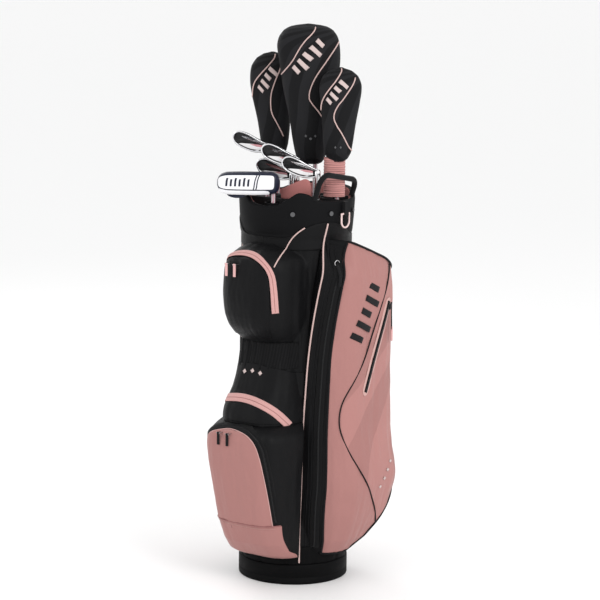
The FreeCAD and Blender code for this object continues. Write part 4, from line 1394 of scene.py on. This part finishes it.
def closed_curve(corners, steps=8):
    """A smooth closed outline through (along, up) corners."""
    ring = [corners[-1], *corners, corners[0], corners[1]]
    smooth = smooth_path(ring, steps)
    return smooth[steps:-2 * steps]


IRON_OUTLINE = [(-5, 6), (0, 1), (10, -2), (24, -2.5), (38, 0), (52, 5), (64, 11), (73, 18),
                (77.5, 27), (77, 35.5), (71.5, 42), (63, 45), (53, 43.5), (40, 38), (24, 29),
                (8, 20.5), (-2, 16), (-6, 11)]


def shrink(outline, amount):
    """The outline moved inwards by an amount, point by point."""
    result = []
    count = len(outline)
    for index, (x, z) in enumerate(outline):
        before, after = outline[index - 1], outline[(index + 1) % count]
        run = Vector((after[0] - before[0], after[1] - before[1])).normalized()
        result.append((x - run.y * amount, z + run.x * amount))
    return result


def iron_head(club):
    place = HeadFrame(club)
    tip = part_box(club + "_head")[0].z / MM
    base = tip + BLADE_ABOVE_TIP
    outline = closed_curve(IRON_OUTLINE, 6)

    def thickness(along, up):
        """The sole, uppermost in the bag, is wide; the topline underneath is thin."""
        rise = 17 + 29 * clamp(along / 66, 0, 1)
        return 2.4 + 4.6 * ease(up, 0.25 * rise, 0.95 * rise)

    def ring(points, side, share=1.0):
        return [place.at(x, side * thickness(x, z) * share, base + z) for x, z in points]
    face_back = ring(shrink(outline, 0.9), -1)
    rows = [ring(shrink(outline, 6), -1), face_back, ring(outline, -1, 0.86),
            ring(outline, 1, 0.86), ring(shrink(outline, 0.9), 1), ring(shrink(outline, 2.6), 1),
            ring(shrink(outline, 3.3), 1, 0.8)]
    shell = solid(club + "_blade", rows, chrome, club)
    cavity = [ring(shrink(outline, 3.2), 1, 0.82), ring(shrink(outline, 4.0), 1, 0.15),
              ring(shrink(outline, 8.0), 1, 0.1)]
    solid(club + "_cavity", cavity, dark_cavity, club)

    def bar(name, corners, depth, lift, material):
        grid = [[place.at(x, lift - depth, base + z) for x, z in corners],
                [place.at(x, lift, base + z) for x, z in corners],
                [place.at(x, lift + 0.3, base + z) for x, z in shrink(corners, 0.5)]]
        made = solid(f"{club}_{name}", grid, material, club, smooth=False)
        modifier(made, "BEVEL", width=0.3 * MM, segments=2, limit_method="ANGLE")
    bar("badge_silver", [(9, 4.5), (24, 3.2), (37, 5.5), (51, 10.6), (64, 17.4), (58, 18.2),
                         (36, 16.8), (10, 14)], 2.6, 3.6, badge_silver)
    bar("badge_pink", [(10, 9), (26, 11), (40, 16.2), (24, 15.6), (10, 13.6)], 2.6, 4.0,
        badge_pink)
    bar("badge_dash", [(40, 25.6), (54, 29.6), (53.6, 31.2), (39.6, 27.2)], 2.6, 3.4,
        satin_steel)

    rows = [place.circle(radius, height, 32) for height, radius in (
        (tip, 5.6), (tip + 0.6, 6.4), (tip + 20, 6.6), (base - 2, 6.8), (base + 6, 7.2),
        (base + 12, 7.0), (base + 15.5, 5.2))]
    hosel = solid(club + "_hosel", rows, chrome, club)
    ferrule(club, place, tip)
    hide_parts(club + "_head")
    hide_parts(club + "_head")


def ferrule(club, place, tip):
    rows = [place.circle(radius, height, 28) for height, radius in (
        (tip - 22, 4.9), (tip - 20, 5.3), (tip - 12, 5.6), (tip - 11.5, 5.9), (tip - 9.5, 5.9),
        (tip - 9, 5.6), (tip - 4, 6.2), (tip, 6.5))]
    solid(club + "_ferrule", rows, lacquer, club)


IRONS = ("seven_iron", "nine_iron", "pitching_wedge", "sand_wedge")
WOODS = ("driver", "fairway_wood", "hybrid")


def clubs():
    for club in IRONS:
        iron_head(club)
    for club in WOODS:
        keep_node(club + "_head", lacquer)
    keep_node("putter_head", satin_steel)
    for club in (*IRONS, *WOODS, "putter"):
        keep_node(club + "_shaft", shaft_pearl)
        keep_node(club + "_grip", rubber)


# ---------------------------------------------------------------- putter cover

def putter_cover():
    """A long padded vinyl cover: navy on top, behind and at its heel, white panels in front with
    two slanted lines, and a flap under the toe."""
    place = HeadFrame("putter")
    low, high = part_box("putter_cover")
    bottom, top = low.z / MM, high.z / MM
    middle = (bottom + top) / 2
    start, end = -14.5, 121
    half_height = curve_through([(start, 5), (start + 3, 15), (start + 10, 21.5), (8, 23.6),
                                 (60, 24), (100, 23), (112, 19), (118, 13), (end, 5)])
    half_depth = curve_through([(start, 5), (start + 3, 13), (start + 10, 18.5), (8, 20.5),
                                (60, 21), (100, 20), (113, 15), (118, 10), (end, 4)])

    def at(along, angle, lift=0.0):
        turn = math.radians(angle)
        out = powered(math.cos(turn), 0.55)
        up = powered(math.sin(turn), 0.6)
        return place.at(along, out * (half_depth(along) + lift),
                        middle + up * (half_height(along) + lift))
    stations = [start + (end - start) * (k / 70) for k in range(71)]
    rows = [[at(along, 360 * k / 72, 0.5 * noise.noise(Vector((along * 0.05, k * 0.12, 2.0))))
             for k in range(72)] for along in stations]
    body = solid("putter_cover_shell", rows, navy_vinyl, "putter_cover")
    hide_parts("putter_cover")

    def panel(name, angles, span, corner, material, lift=1.1):
        """A sewn panel between two section angles, its ends rounded by the corner size."""
        grid = []
        for k in range(17):
            share = k / 16
            inset = corner * (1 - math.sqrt(max(0.0, 1 - abs(2 * share - 1) ** 3)))
            angle = angles[0] + (angles[1] - angles[0]) * share
            first, last = span[0] + inset, span[1] - inset
            grid.append([at(first + (last - first) * c / 40, angle, lift) for c in range(41)])
        made = piece(name, grid_mesh(name, grid), material, "putter_cover")
        modifier(made, "SOLIDIFY", thickness=1.6 * MM, offset=0)
        modifier(made, "BEVEL", width=0.5 * MM, segments=2, limit_method="ANGLE")
    panel("putter_cover_front", (-17, 37), (-2, 119), 5, white_vinyl)
    panel("putter_cover_lower", (-66, -24), (8, 117), 10, white_vinyl)
    for number, along in enumerate((36, 41.5)):
        patch(f"putter_cover_line_{number}", lambda a, h: at(a, h, 2.1),
              [(along, -16), (along + 2.4, -16), (along - 5.6, 36), (along - 8, 36)], navy_vinyl,
              "putter_cover")
    bars_on("putter_cover_bar", lambda a, h: at(a, h, 2.1), (52, -4), (108, -4), 6, (-2.5, 22),
            0.45, navy_vinyl, "putter_cover")
    rows = []
    for k in range(13):
        along = 56 + 44 * k / 12
        drop = 8 * math.sin(math.pi * k / 12) ** 0.6
        rows.append([place.at(along, 6, bottom + 2.5), place.at(along, 8, bottom - drop * 0.6),
                     place.at(along, 8, bottom - drop)])
    flap = piece("putter_cover_flap", grid_mesh("putter_cover_flap", rows), navy_vinyl,
                 "putter_cover")
    modifier(flap, "SOLIDIFY", thickness=2.4 * MM, offset=0)


# ---------------------------------------------------------------- build

camera()
floor_and_lights()
base()
tube()
collar()
front_pockets()
side_pockets()
spine_and_strap()
mouth()
covers()
clubs()
putter_cover()
